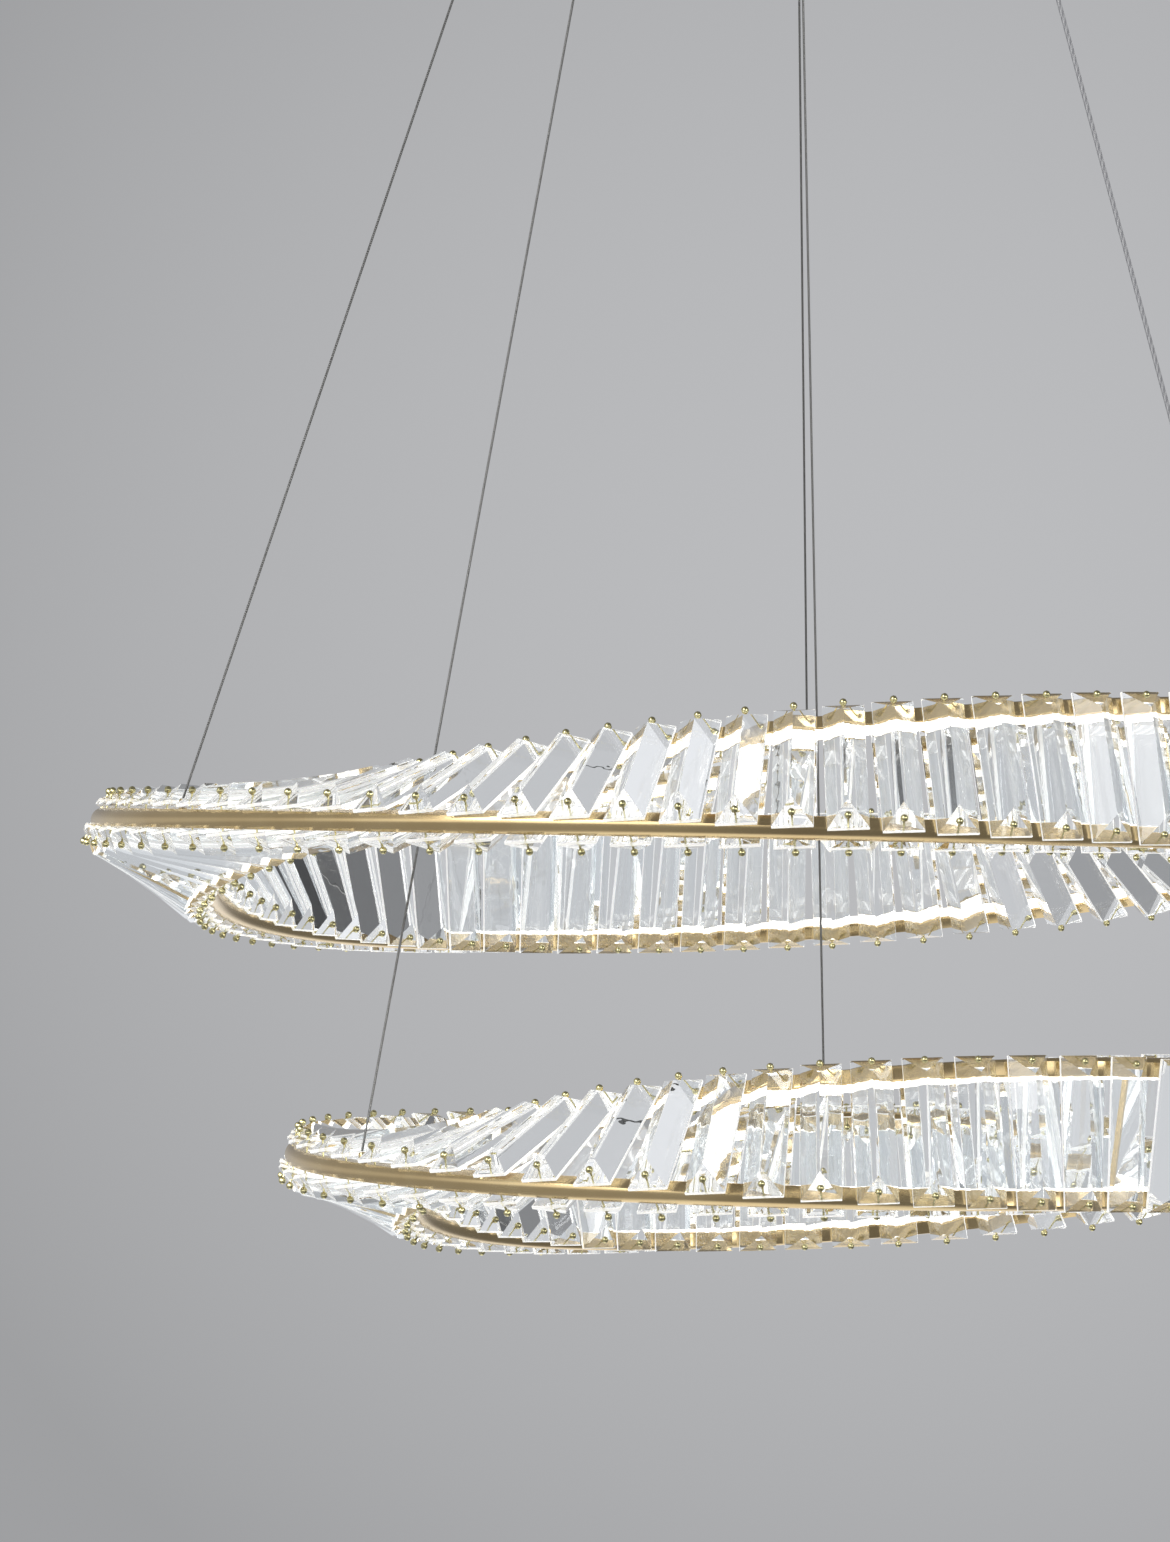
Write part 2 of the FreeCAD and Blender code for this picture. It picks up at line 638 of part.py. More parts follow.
def anchor_spots(ring):
    """Each wire's post: name, foot on a rail and the direction that it stands in."""
    edge, side = band_edge(), size("rail_thick") / 2
    seat, spots = size("anchor_seat"), []
    for name, azimuth in zip(("left", "right", "rear"), ring.gap_centres(ring.first_gap)):
        centre, across, face, onward = ring.axes(azimuth)
        if abs(face.z) > abs(across.z):
            toward = face if face.z > 0 else face * -1
            rail = across if across.dot(centre) > 0 else across * -1
            foot = centre + rail * (edge - size("anchor_inset")) + toward * (side + seat)
        else:
            toward = across if across.z > 0 else across * -1
            foot = centre + toward * (edge + seat)
        spots.append((name, foot, toward))
    return spots


def make_anchors(ring):
    """Hexagon posts screwed to the rails, each with a wire's end in its top."""
    post = upright_bar(f"{ring.name}_post", 6, "<anchor_radius>", "<anchor_length>")
    doc.recompute()
    spots = [along(toward, foot) for name, foot, toward in anchor_spots(ring)]
    return placed_copies(f"{ring.name}_wire_anchors", post.Shape, spots)


def wire_size(name):
    """The right-hand wire of each ring is the cable that brings the current."""
    return size("cable_radius") if name == "right" else size("wire_radius")


def end_gap(radius, direction, upright):
    """How far along its own line a slanted wire stops short of a flat face."""
    cosine = direction.dot(upright)
    return (size("wire_seat") + radius * math.sqrt(1 - cosine ** 2)) / cosine


def make_wires(ring):
    """Straight wires from the plungers' mouths to the posts."""
    exits = {name: spot for owner, name, spot in exit_spots() if owner == ring.name}
    for name, foot, toward in anchor_spots(ring):
        radius = wire_size(name)
        top = exits[name] - FreeCAD.Vector(0, 0, plunger_foot() - size("mouth_depth"))
        post_top = foot + toward * size("anchor_length")
        direction = (top - post_top).normalize()
        start = post_top + direction * end_gap(radius, direction, toward)
        end = top - direction * end_gap(radius, direction, FreeCAD.Vector(0, 0, 1))
        wire = doc.addObject("Part::Prism", f"{ring.name}_wire_{name}_run")
        wire.Polygon = WIRE_COUNT
        wire.Circumradius = radius
        wire.Height = start.distanceToPoint(end)
        wire.Placement = along(direction, start)
        keep(wire, f"{ring.name}_wire_{name}")


def make_tails():
    """The straight length of each wire inside its gripper, up into the canopy."""
    rise = plunger_foot() - size("mouth_depth")
    inside = "<cover_wall> + <neck_length> + <wire_tail>"
    tails = []
    for ring, name, spot in exit_spots():
        radius = "<cable_radius>" if name == "right" else "<wire_radius>"
        tail = upright_bar(f"{ring}_tail_{name}", WIRE_COUNT, radius, f"{rise} + {inside}")
        doc.recompute()
        foot = spot - FreeCAD.Vector(0, 0, rise)
        tails.append(tail.Shape.transformed(FreeCAD.Placement(foot, FreeCAD.Rotation()).toMatrix()))
    piece = doc.addObject("Part::Feature", "wire_tails")
    piece.Shape = Part.makeCompound(tails)
    return keep(piece, "wire_tails")


def check_and_write():
    """Stops on any failed object or empty shape, then writes one file a sub-part."""
    doc.recompute()
    for piece in doc.Objects:
        if "Invalid" in piece.State or "Error" in piece.State:
            raise RuntimeError(f"{piece.Label} failed: {piece.State}")
    for piece in parts:
        if piece.Shape.isNull() or not piece.Shape.isValid():
            raise RuntimeError(f"{piece.Label} has no valid shape")
    os.makedirs("parts", exist_ok=True)
    for piece in parts:
        piece.Shape.exportStep(f"parts/{piece.Label}.step")
        print(f"{piece.Label}: {len(piece.Shape.Solids)} solids, {piece.Shape.Volume:.1f} mm3")


make_bracket()
make_cover()
make_side_screws()
make_drivers()
make_terminal()
make_grippers()
make_plungers()
make_springs()
make_tails()
crystal_bar = make_crystal()
for ring in (Ring("upper"), Ring("lower")):
    make_rails(ring)
    make_crystal_layers(ring, crystal_bar)
    make_struts(ring)
    make_anchors(ring)
    make_wires(ring)
    print(f"{ring.name}: {ring.count} crystals a layer")
check_and_write()
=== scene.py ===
import bmesh
import bpy
import numpy as np
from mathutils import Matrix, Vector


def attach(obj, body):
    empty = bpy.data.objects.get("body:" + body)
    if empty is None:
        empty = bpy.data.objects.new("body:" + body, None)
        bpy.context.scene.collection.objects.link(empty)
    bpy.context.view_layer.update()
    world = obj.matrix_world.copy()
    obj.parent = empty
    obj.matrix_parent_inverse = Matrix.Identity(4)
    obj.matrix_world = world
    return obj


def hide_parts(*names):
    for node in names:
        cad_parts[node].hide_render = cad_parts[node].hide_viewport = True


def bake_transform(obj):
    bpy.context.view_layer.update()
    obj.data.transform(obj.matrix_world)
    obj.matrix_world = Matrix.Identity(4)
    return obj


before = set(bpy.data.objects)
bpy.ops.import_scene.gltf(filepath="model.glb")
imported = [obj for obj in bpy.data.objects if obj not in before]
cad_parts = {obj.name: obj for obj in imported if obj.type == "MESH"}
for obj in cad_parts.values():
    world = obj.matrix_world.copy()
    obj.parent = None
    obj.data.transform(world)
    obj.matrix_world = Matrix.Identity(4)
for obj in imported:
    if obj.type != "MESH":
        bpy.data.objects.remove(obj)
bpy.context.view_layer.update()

# ---- ceiling bracket
# A flat steel sheet, pressed and zinc plated, with two long arms whose ends are bent
# down as ears. It is screwed to the ceiling and carries everything else.


def linear(code):
    """Linear colour of an sRGB hex value: v / 12.92 for small v, and otherwise
    ((v + 0.055) / 1.055) to the power 2.4."""
    v = np.array([int(code[i:i + 2], 16) for i in (1, 3, 5)]) / 255
    v = np.where(v <= 0.04045, v / 12.92, ((v + 0.055) / 1.055) ** 2.4)
    return (*v.tolist(), 1.0)


def fill(tree, node, inputs):
    """Sets a node's inputs, by name or number: a socket is linked, all else is a value."""
    for socket, value in inputs.items():
        if isinstance(value, bpy.types.NodeSocket):
            tree.links.new(value, node.inputs[socket])
        else:
            node.inputs[socket].default_value = value


def add(tree, kind, inputs=None, **properties):
    """Adds one node with its properties, values and links."""
    node = tree.nodes.new("ShaderNode" + kind)
    for name, value in properties.items():
        setattr(node, name, value)
    fill(tree, node, inputs or {})
    return node


def new_finish(name):
    """A material of that name, its node tree and its surface shader."""
    finish = bpy.data.materials.new(name)
    finish.use_nodes = True
    return finish, finish.node_tree, finish.node_tree.nodes["Principled BSDF"]


# Zinc plating on sheet steel: blue-white, with faint grains about 5 mm across.
ZINC_GRAIN = 0.005
zinc, tree, shader = new_finish("zinc_plated_sheet_steel")
place = add(tree, "TexCoord").outputs["Object"]
grain = add(tree, "TexVoronoi", {"Vector": place, "Scale": 1 / ZINC_GRAIN})
smear = add(tree, "TexNoise", {"Vector": place, "Scale": 60.0, "Detail": 4.0})
tone = add(tree, "Mix", {"Factor": grain.outputs["Color"], "A": linear("#a9afb6"),
                         "B": linear("#cbd0d4")}, data_type="RGBA")
rough = add(tree, "MapRange", {"Value": smear.outputs["Fac"], "To Min": 0.32, "To Max": 0.5})
fill(tree, shader, {"Base Color": tone.outputs["Result"], "Metallic": 1.0,
                    "Roughness": rough.outputs["Result"]})


def dress(finish, *nodes):
    """Gives CAD nodes that stay in sight their finish."""
    for name in nodes:
        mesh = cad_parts[name].data
        mesh.materials.clear()
        mesh.materials.append(finish)


dress(zinc, "ceiling_bracket")

# ---- LED drivers and supply terminal
# Two closed plastic cases with a mounting lug at each end, one for each ring, and a
# small polyamide block for the house wiring. All three hang under the bracket.

# Moulded ABS: matt off-white, with the fine spark-eroded grain of its mould.
MOULD_GRAIN = 0.0006
case, tree, shader = new_finish("moulded_abs_off_white")
place = add(tree, "TexCoord").outputs["Object"]
cloud = add(tree, "TexNoise", {"Vector": place, "Scale": 25.0, "Detail": 3.0})
pits = add(tree, "TexNoise", {"Vector": place, "Scale": 1 / MOULD_GRAIN, "Detail": 2.0})
tone = add(tree, "Mix", {"Factor": cloud.outputs["Fac"], "A": linear("#dcdcd6"),
                         "B": linear("#e9e9e4")}, data_type="RGBA")
bump = add(tree, "Bump", {"Height": pits.outputs["Fac"], "Strength": 0.25, "Distance": 0.0002})
fill(tree, shader, {"Base Color": tone.outputs["Result"], "Roughness": 0.55, "IOR": 1.53,
                    "Normal": bump.outputs["Normal"]})
dress(case, "led_driver_upper", "led_driver_lower")

# Polyamide: a warmer white with a waxy sheen and slightly uneven colour.
block, tree, shader = new_finish("moulded_polyamide")
place = add(tree, "TexCoord").outputs["Object"]
cloud = add(tree, "TexNoise", {"Vector": place, "Scale": 90.0, "Detail": 3.0})
tone = add(tree, "Mix", {"Factor": cloud.outputs["Fac"], "A": linear("#e2dccb"),
                         "B": linear("#efeadb")}, data_type="RGBA")
rough = add(tree, "MapRange", {"Value": cloud.outputs["Fac"], "To Min": 0.35, "To Max": 0.5})
fill(tree, shader, {"Base Color": tone.outputs["Result"], "IOR": 1.53,
                    "Roughness": rough.outputs["Result"]})
dress(block, "supply_terminal")

# ---- canopy cover
# A dish spun from 1.2 mm steel sheet, brushed on the lathe and gold plated. Two
# knurled screws hold it to the bracket's ears, and the grippers pass through it.

MM = 0.001
COVER_RADIUS, COVER_DEPTH, COVER_WALL, COVER_BEND = 130.0, 42.0, 1.2, 6.0
COVER_RIM = -0.5


def woven(points, close_i, close_j, span=(1.0, 1.0)):
    """Quads over grids of points, shaped (copies, i, j, 3). A quad joins (i, j),
    (i+1, j), (i+1, j+1) and (i, j+1), and the last row meets the first where the grid
    closes. Its UV corners are i and j as shares of the span."""
    copies, n, m = points.shape[:3]
    steps_i, steps_j = n - 1 + close_i, m - 1 + close_j
    i, j = np.meshgrid(np.arange(steps_i), np.arange(steps_j), indexing="ij")
    i = np.stack([i, i + 1, i + 1, i], -1).reshape(-1, 4)
    j = np.stack([j, j, j + 1, j + 1], -1).reshape(-1, 4)
    one = (i % n) * m + j % m
    faces = (np.arange(copies)[:, None, None] * n * m + one).reshape(-1, 4)
    uv = np.stack([i / steps_i * span[0], j / steps_j * span[1]], -1).reshape(-1, 2)
    return points.reshape(-1, 3), faces, np.tile(uv, (copies, 1))


def turned(profile, sides, teeth=0, tooth=0.0, flats=0.0):
    """A profile carried round the Z axis. Its columns are radius, height and 1 where a
    knurl or hexagon shapes it. A knurl takes tooth (1 - cos(teeth a)) / 2 off the
    radius at angle a, and a hexagon cuts it to flats / 2 / cos(a from the flat)."""
    radius, height, shaped = np.array(profile, float).T
    a = np.arange(sides)[:, None] * 2 * np.pi / sides
    r = radius - shaped * tooth * (1 - np.cos(teeth * a)) / 2
    if flats:
        hexagon = flats / 2 / np.cos((a + np.pi / 6) % (np.pi / 3) - np.pi / 6)
        r = np.where(shaped > 0, np.minimum(r, hexagon), r)
    return np.stack([r * np.cos(a), r * np.sin(a), height + 0 * r], -1)


def stand(shape, feet, axes):
    """Copies of a shape in mm, each at a foot in metres with its own x, y and z
    directions: point = foot + x X + y Y + z Z."""
    turned_shape = np.einsum("ijk,nkc->nijc", shape * MM, np.asarray(axes, float))
    return np.asarray(feet, float)[:, None, None, :] + turned_shape


def fit(name, skin, finish, body=None, replaced=(), smooth=35.0):
    """Makes a piece of points, quads and UV corners, welds its poles, and fits it on
    its body. Edges that turn more than the smooth angle stay sharp."""
    points, faces, uv = skin
    mesh = bpy.data.meshes.new(name)
    mesh.from_pydata(points, [], faces)
    mesh.uv_layers.new(name="UVMap").data.foreach_set("uv", uv.astype(np.float32).ravel())
    work = bmesh.new()
    work.from_mesh(mesh)
    bmesh.ops.remove_doubles(work, verts=work.verts, dist=1e-7)
    work.to_mesh(mesh)
    work.free()
    mesh.shade_smooth()
    mesh.set_sharp_from_angle(angle=np.radians(smooth))
    mesh.materials.append(finish)
    piece = bpy.data.objects.new(name, mesh)
    bpy.context.scene.collection.objects.link(piece)
    if body:
        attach(piece, body)
    if replaced:
        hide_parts(*replaced)
    return piece


def bend(centre, radius, start, end, steps):
    """Points of radius and height on an arc about a centre, from one angle to another."""
    a = np.radians(np.linspace(start, end, steps))
    return np.stack([centre[0] + radius * np.cos(a), centre[1] + radius * np.sin(a)], -1)


corner = (COVER_RADIUS - COVER_BEND, COVER_BEND - COVER_DEPTH)
outside = np.concatenate([[(0, -COVER_DEPTH), (40, -COVER_DEPTH), (90, -COVER_DEPTH)],
                          bend(corner, COVER_BEND, -90, 0, 9),
                          [(COVER_RADIUS, COVER_RIM), (COVER_RADIUS - COVER_WALL, COVER_RIM)],
                          bend(corner, COVER_BEND - COVER_WALL, 0, -90, 7),
                          [(90, COVER_WALL - COVER_DEPTH), (0, COVER_WALL - COVER_DEPTH)]])
cover_shape = turned(np.column_stack([outside, 0 * outside[:, 0]]), 144)

# Gold plating over lathe-brushed steel: satin, with fine circular lines 0.7 mm apart,
# drawn coarser than real so that they show.
BRUSH_PITCH = 0.0007
cover_gold, tree, shader = new_finish("gold_plated_spun_steel")
place = add(tree, "TexCoord").outputs["Object"]
split = add(tree, "SeparateXYZ", {"Vector": place})
flat = add(tree, "CombineXYZ", {"X": split.outputs["X"], "Y": split.outputs["Y"]})
reach = add(tree, "VectorMath", {0: flat.outputs["Vector"]}, operation="LENGTH")
along = add(tree, "Math", {0: reach.outputs["Value"], 1: split.outputs["Z"]}, operation="SUBTRACT")
lines = add(tree, "TexNoise", {"W": along.outputs["Value"], "Scale": 1 / BRUSH_PITCH,
                               "Detail": 3.0}, noise_dimensions="1D")
rough = add(tree, "MapRange", {"Value": lines.outputs["Fac"], "To Min": 0.22, "To Max": 0.4})
bump = add(tree, "Bump", {"Height": lines.outputs["Fac"], "Strength": 0.12, "Distance": 0.0002})
tone = add(tree, "Mix", {"Factor": lines.outputs["Fac"], "A": linear("#b8955a"),
                         "B": linear("#cdae76")}, data_type="RGBA")
fill(tree, shader, {"Base Color": tone.outputs["Result"], "Metallic": 1.0,
                    "Roughness": rough.outputs["Result"], "Normal": bump.outputs["Normal"]})
fit("spun_cover", woven(stand(cover_shape, [(0, 0, 0)], [np.eye(3)]), True, False), cover_gold,
    "canopy", ["canopy_cover"])

# ---- side screws
# Two brass screws with knurled heads, turned and gold plated. Each passes through the
# cover's side wall and is tightened by hand into a tapped ear of the bracket.

SCREW_DROP, HEAD_RADIUS, HEAD_LENGTH = 13.0, 5.0, 6.0
SHANK_RADIUS, SHANK_LENGTH = 2.0, 6.0
KNURL_TEETH, KNURL_DEPTH = 24, 0.35
screw_profile = [(0, -SHANK_LENGTH, 0), (1.5, -SHANK_LENGTH, 0),
                 (SHANK_RADIUS, 0.5 - SHANK_LENGTH, 0), (SHANK_RADIUS, 0, 0), (4.4, 0, 0),
                 (HEAD_RADIUS, 0.5, 0), (HEAD_RADIUS, 0.8, 1), (HEAD_RADIUS, 5.2, 1),
                 (HEAD_RADIUS, 5.4, 0), (4.4, HEAD_LENGTH, 0), (1.2, HEAD_LENGTH, 0), (0, 5.7, 0)]
screw_shape = turned(screw_profile, 96, KNURL_TEETH, KNURL_DEPTH)
head_gap = 0.1
reach = (COVER_RADIUS + head_gap) * MM
feet = [(-reach, 0, -SCREW_DROP * MM), (reach, 0, -SCREW_DROP * MM)]

# Gold plating over turned brass: brighter than the cover, with faint tool lines.
turned_gold, tree, shader = new_finish("gold_plated_turned_brass")
place = add(tree, "TexCoord").outputs["Object"]
marks = add(tree, "TexNoise", {"Vector": place, "Scale": 900.0, "Detail": 3.0})
rough = add(tree, "MapRange", {"Value": marks.outputs["Fac"], "To Min": 0.16, "To Max": 0.3})
tone = add(tree, "Mix", {"Factor": marks.outputs["Fac"], "A": linear("#cdb47c"),
                         "B": linear("#e4d2a2")}, data_type="RGBA")
fill(tree, shader, {"Base Color": tone.outputs["Result"], "Metallic": 1.0,
                    "Roughness": rough.outputs["Result"]})
sideways = [[(0, 0, 1), (0, 1, 0), (-1, 0, 0)], [(0, 0, 1), (0, -1, 0), (1, 0, 0)]]
fit("knurled_side_screws", woven(stand(screw_shape, feet, sideways), True, False), turned_gold,
    "canopy", ["canopy_side_screws"])

# ---- cable grippers and their locknuts
# Six turned brass grippers, gold plated. The threaded neck passes up through the
# cover, a collar stops it from below, and a hexagon nut inside clamps it.

WIRES = (("rear", 90.0), ("left", 210.0), ("right", 330.0))
EXIT_RADII = {"upper": 0.100, "lower": 0.076}
BARREL_RADIUS, BARREL_BORE, BARREL_END = 5.5, 3.6, -20.5
COLLAR_RADIUS, COLLAR_DEPTH = 7.0, 2.5
NECK_RADIUS, NECK_BORE, NECK_TOP, BORE_FLOOR = 4.9, 1.4, 11.2, -3.3
THREAD_PITCH, THREAD_DEPTH = 0.75, 0.35


def exits(ring):
    """Where a ring's wires leave the cover's underside: radius (cos a, sin a)."""
    a = np.radians([azimuth for name, azimuth in WIRES])
    r = EXIT_RADII[ring]
    return np.stack([r * np.cos(a), r * np.sin(a), 0 * a - COVER_DEPTH * MM], -1)


crests = np.arange(2.0, NECK_TOP - 0.6, THREAD_PITCH)
thread = np.stack([np.tile([NECK_RADIUS, NECK_RADIUS - THREAD_DEPTH], len(crests)),
                   np.stack([crests, crests + THREAD_PITCH / 2], -1).ravel()], -1)
gripper_outline = np.concatenate([
    [(BARREL_BORE, BARREL_END), (5.0, BARREL_END), (BARREL_RADIUS, BARREL_END + 0.5),
     (BARREL_RADIUS, -17.6), (5.15, -17.3), (5.15, -16.7), (BARREL_RADIUS, -16.4),
     (BARREL_RADIUS, -COLLAR_DEPTH), (6.6, -COLLAR_DEPTH), (COLLAR_RADIUS, -2.1),
     (COLLAR_RADIUS, -0.5), (6.7, 0), (NECK_RADIUS, 0)], thread,
    [(4.5, NECK_TOP), (NECK_BORE, NECK_TOP), (NECK_BORE, BORE_FLOOR), (BARREL_BORE, BORE_FLOOR)]])
gripper_shape = turned(np.column_stack([gripper_outline, 0 * gripper_outline[:, 0]]), 40)
upright = np.repeat(np.eye(3)[None], 6, 0)
all_exits = np.concatenate([exits("upper"), exits("lower")])
fit("turned_grippers", woven(stand(gripper_shape, all_exits, upright), True, True), turned_gold,
    "canopy", ["cable_grippers"])

NUT_FLATS, NUT_CORNER, NUT_THICK, NUT_BORE, NUT_BEVEL = 14.0, 8.1, 4.0, 5.05, 0.6
nut_profile = [(NUT_BORE, 0, 0), (NUT_FLATS / 2, 0, 0), (NUT_CORNER, NUT_BEVEL, 1),
               (NUT_CORNER, NUT_THICK - NUT_BEVEL, 1), (NUT_FLATS / 2, NUT_THICK, 0),
               (NUT_BORE, NUT_THICK, 0)]
nut_shape = turned(nut_profile, 36, flats=NUT_FLATS)
inside = all_exits + (0, 0, COVER_WALL * MM)
fit("hexagon_locknuts", woven(stand(nut_shape, inside, upright), True, True), turned_gold,
    "canopy", ["gripper_locknuts"])

# ---- release plungers and their springs
# A nickel-plated steel sleeve slides in each barrel. Pushed up by its knurled button,
# it frees the wire; a small coil spring above its stem pushes it back. The button is
# hollowed and its bore bevelled, so that the wire can lean out of it.

FOOT, BUTTON, STEM_LENGTH = -26.7, 4.0, 13.2
BUTTON_RADIUS, STEM_RADIUS, BORE = 4.8, 3.4, 1.4
MOUTH_RADIUS, MOUTH_DEPTH, BEVEL_RADIUS, BEVEL_TOP = 3.8, 2.6, 2.0, 3.4
BUTTON_TEETH, BUTTON_KNURL = 20, 0.3
plunger_profile = [(MOUTH_RADIUS, 0, 0), (4.3, 0, 0), (BUTTON_RADIUS, 0.5, 0),
                   (BUTTON_RADIUS, 0.8, 1), (BUTTON_RADIUS, 3.3, 1), (BUTTON_RADIUS, 3.5, 0),
                   (4.3, BUTTON, 0), (STEM_RADIUS, BUTTON, 0),
                   (STEM_RADIUS, BUTTON + STEM_LENGTH - 0.3, 0), (3.1, BUTTON + STEM_LENGTH, 0),
                   (BORE, BUTTON + STEM_LENGTH, 0), (BORE, BEVEL_TOP, 0),
                   (BEVEL_RADIUS, MOUTH_DEPTH, 0), (MOUTH_RADIUS, MOUTH_DEPTH, 0)]
plunger_shape = turned(plunger_profile, 80, BUTTON_TEETH, BUTTON_KNURL)

# Nickel plating over turned steel: a slightly warm mirror with fine turning marks.
nickel, tree, shader = new_finish("nickel_plated_steel")
place = add(tree, "TexCoord").outputs["Object"]
marks = add(tree, "TexNoise", {"Vector": place, "Scale": 1200.0, "Detail": 2.0})
rough = add(tree, "MapRange", {"Value": marks.outputs["Fac"], "To Min": 0.14, "To Max": 0.28})
fill(tree, shader, {"Base Color": linear("#c6c4be"), "Metallic": 1.0,
                    "Roughness": rough.outputs["Result"]})

SPRING_TURNS, SPRING_RADIUS, SPRING_WIRE, SPRING_LENGTH = 4.5, 2.95, 0.35, 5.8
SPRING_FOOT = -9.4


def coil(turns, radius, wire, length, steps, sides):
    """A wire wound as a helix: its middle is (radius cos a, radius sin a, rise a), and
    its round section has one axis outwards and one along Z. Both ends close."""
    a = np.linspace(0, turns * 2 * np.pi, steps)
    middle = np.stack([radius * np.cos(a), radius * np.sin(a),
                       wire + (length - 2 * wire) * a / a[-1]], -1)
    outward = np.stack([np.cos(a), np.sin(a), 0 * a], -1)
    b = -np.arange(sides) * 2 * np.pi / sides
    thick = np.where(np.isin(np.arange(steps), (0, steps - 1)), 0.0, wire)[:, None, None]
    return middle[:, None] + thick * (np.cos(b)[:, None] * outward[:, None]
                                      + np.sin(b)[:, None] * np.array([0, 0, 1.0]))


spring_shape = coil(SPRING_TURNS, SPRING_RADIUS, SPRING_WIRE, SPRING_LENGTH, steps=56, sides=6)
for ring in ("upper", "lower"):
    for (label, azimuth), spot in zip(WIRES, exits(ring)):
        key = f"{ring}_{label}"
        foot = spot + (0, 0, FOOT * MM)
        fit(f"release_sleeve_{key}", woven(stand(plunger_shape, [foot], [np.eye(3)]), True, True),
            nickel, f"release_plunger_{key}", [f"release_plunger_{key}"])
        low = spot + (0, 0, SPRING_FOOT * MM)
        skin = woven(stand(spring_shape, [low], [np.eye(3)]), False, True)
        spring = fit(f"return_spring_{key}", skin, nickel,
                     replaced=[f"gripper_spring_{key}"])
        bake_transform(spring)

# ---- rails
# Four closed bars of rolled brass with a rounded outer face, gold plated to a satin
# polish. The two of each ring follow the twisting band's edges and link once.

RINGS = {
    "upper": {"radius": 0.358, "height": -0.780, "twist": 36.0, "first_gap": 212.8, "count": 90},
    "lower": {"radius": 0.259, "height": -0.952, "twist": 25.0, "first_gap": 212.9, "count": 63},
}
RAIL_OUT, RAIL_IN, RAIL_HALF, RAIL_CROWN, RAIL_EDGE = 38.2, 28.6, 4.75, 2.0, 0.9
LOOP_STEPS = 480


def band_axes(ring, azimuth):
    """The band's directions at azimuths a, where it has turned by t = twist - a: its
    middle, across = outward cos t + up sin t, face = outward sin t - up cos t, onward."""
    a, t = np.radians(azimuth), np.radians(ring["twist"] - azimuth)
    outward = np.stack([np.cos(a), np.sin(a), 0 * a], -1)
    onward = np.stack([-np.sin(a), np.cos(a), 0 * a], -1)
    up = np.array([0, 0, 1.0])
    across = outward * np.cos(t)[..., None] + up * np.sin(t)[..., None]
    face = outward * np.sin(t)[..., None] - up * np.cos(t)[..., None]
    middle = outward * ring["radius"] + up * ring["height"]
    return middle, across, face, onward


def band_bar(ring, section, side):
    """A section in mm, across and through the band, carried round one edge of it:
    point = middle + side x across + side y face."""
    middle, across, face, onward = band_axes(ring, np.arange(LOOP_STEPS) * 360 / LOOP_STEPS)
    x, y = np.array(section).T * MM * side
    return (middle[:, None] + x[:, None] * across[:, None] + y[:, None] * face[:, None])[None]


crown_radius = (RAIL_HALF ** 2 + RAIL_CROWN ** 2) / (2 * RAIL_CROWN)
crown_angle = np.degrees(np.arcsin(RAIL_HALF / crown_radius))
inner_corner = RAIL_IN + RAIL_EDGE
rail_section = np.concatenate([
    bend((inner_corner, RAIL_EDGE - RAIL_HALF), RAIL_EDGE, 270, 180, 3),
    bend((inner_corner, RAIL_HALF - RAIL_EDGE), RAIL_EDGE, 180, 90, 3),
    bend((RAIL_OUT - crown_radius, 0), crown_radius, crown_angle, -crown_angle, 15)])
RAIL_GIRTH = 0.034

# Satin-polished gold plating: fine lines drawn along the rail, about 0.5 mm apart and
# 40 mm long, and a faint cloudiness of the polish.
rail_gold, tree, shader = new_finish("satin_gold_plated_brass")
along_rail = add(tree, "TexCoord").outputs["UV"]
stretch = add(tree, "Mapping", {"Vector": along_rail, "Scale": (25.0, 2000.0, 1.0)})
lines = add(tree, "TexNoise", {"Vector": stretch.outputs["Vector"], "Scale": 1.0, "Detail": 4.0})
place = add(tree, "TexCoord").outputs["Object"]
cloud = add(tree, "TexNoise", {"Vector": place, "Scale": 35.0, "Detail": 3.0})
both = add(tree, "Math", {0: lines.outputs["Fac"], 1: cloud.outputs["Fac"]}, operation="MULTIPLY")
rough = add(tree, "MapRange", {"Value": both.outputs["Value"], "From Max": 0.5, "To Min": 0.16,
                               "To Max": 0.3})
tone = add(tree, "Mix", {"Factor": cloud.outputs["Fac"], "A": linear("#c9ad7c"),
                         "B": linear("#dfca9c")}, data_type="RGBA")
bump = add(tree, "Bump", {"Height": lines.outputs["Fac"], "Strength": 0.06, "Distance": 0.0001})
fill(tree, shader, {"Base Color": tone.outputs["Result"], "Metallic": 1.0,
                    "Roughness": rough.outputs["Result"], "Normal": bump.outputs["Normal"]})
for name, ring in RINGS.items():
    span = (2 * np.pi * ring["radius"], RAIL_GIRTH)
    for label, side in (("a", -1), ("b", 1)):
        skin = woven(band_bar(ring, rail_section, side), True, True, span)
        fit(f"{name}_gold_rail_{label}", skin, rail_gold, f"ring_{name}",
            [f"{name}_rail_{label}"], smooth=40.0)

# ---- cross bars
# Three short upright bars in each ring, 1.2 mm brass brazed between the rails, each in
# a gap between two crystals. They share the rails' plating.

STRUT_HALF, STRUT_SIDE, STRUT_DEEP = 28.5, 0.6, 0.6
STRUT_PITCHES = {"upper": 23, "lower": 16}


def slab(levels):
    """Outlines stacked from its back to its front. Each level gives half a length, half
    a width and a height, and a level of no width closes the slab."""
    corners = np.array([(1, 1), (-1, 1), (-1, -1), (1, -1)])[:, None]
    levels = np.array(levels)
    heights = np.repeat(levels[None, :, 2:], 4, 0)
    return np.concatenate([levels[None, :, :2] * corners, heights], -1)


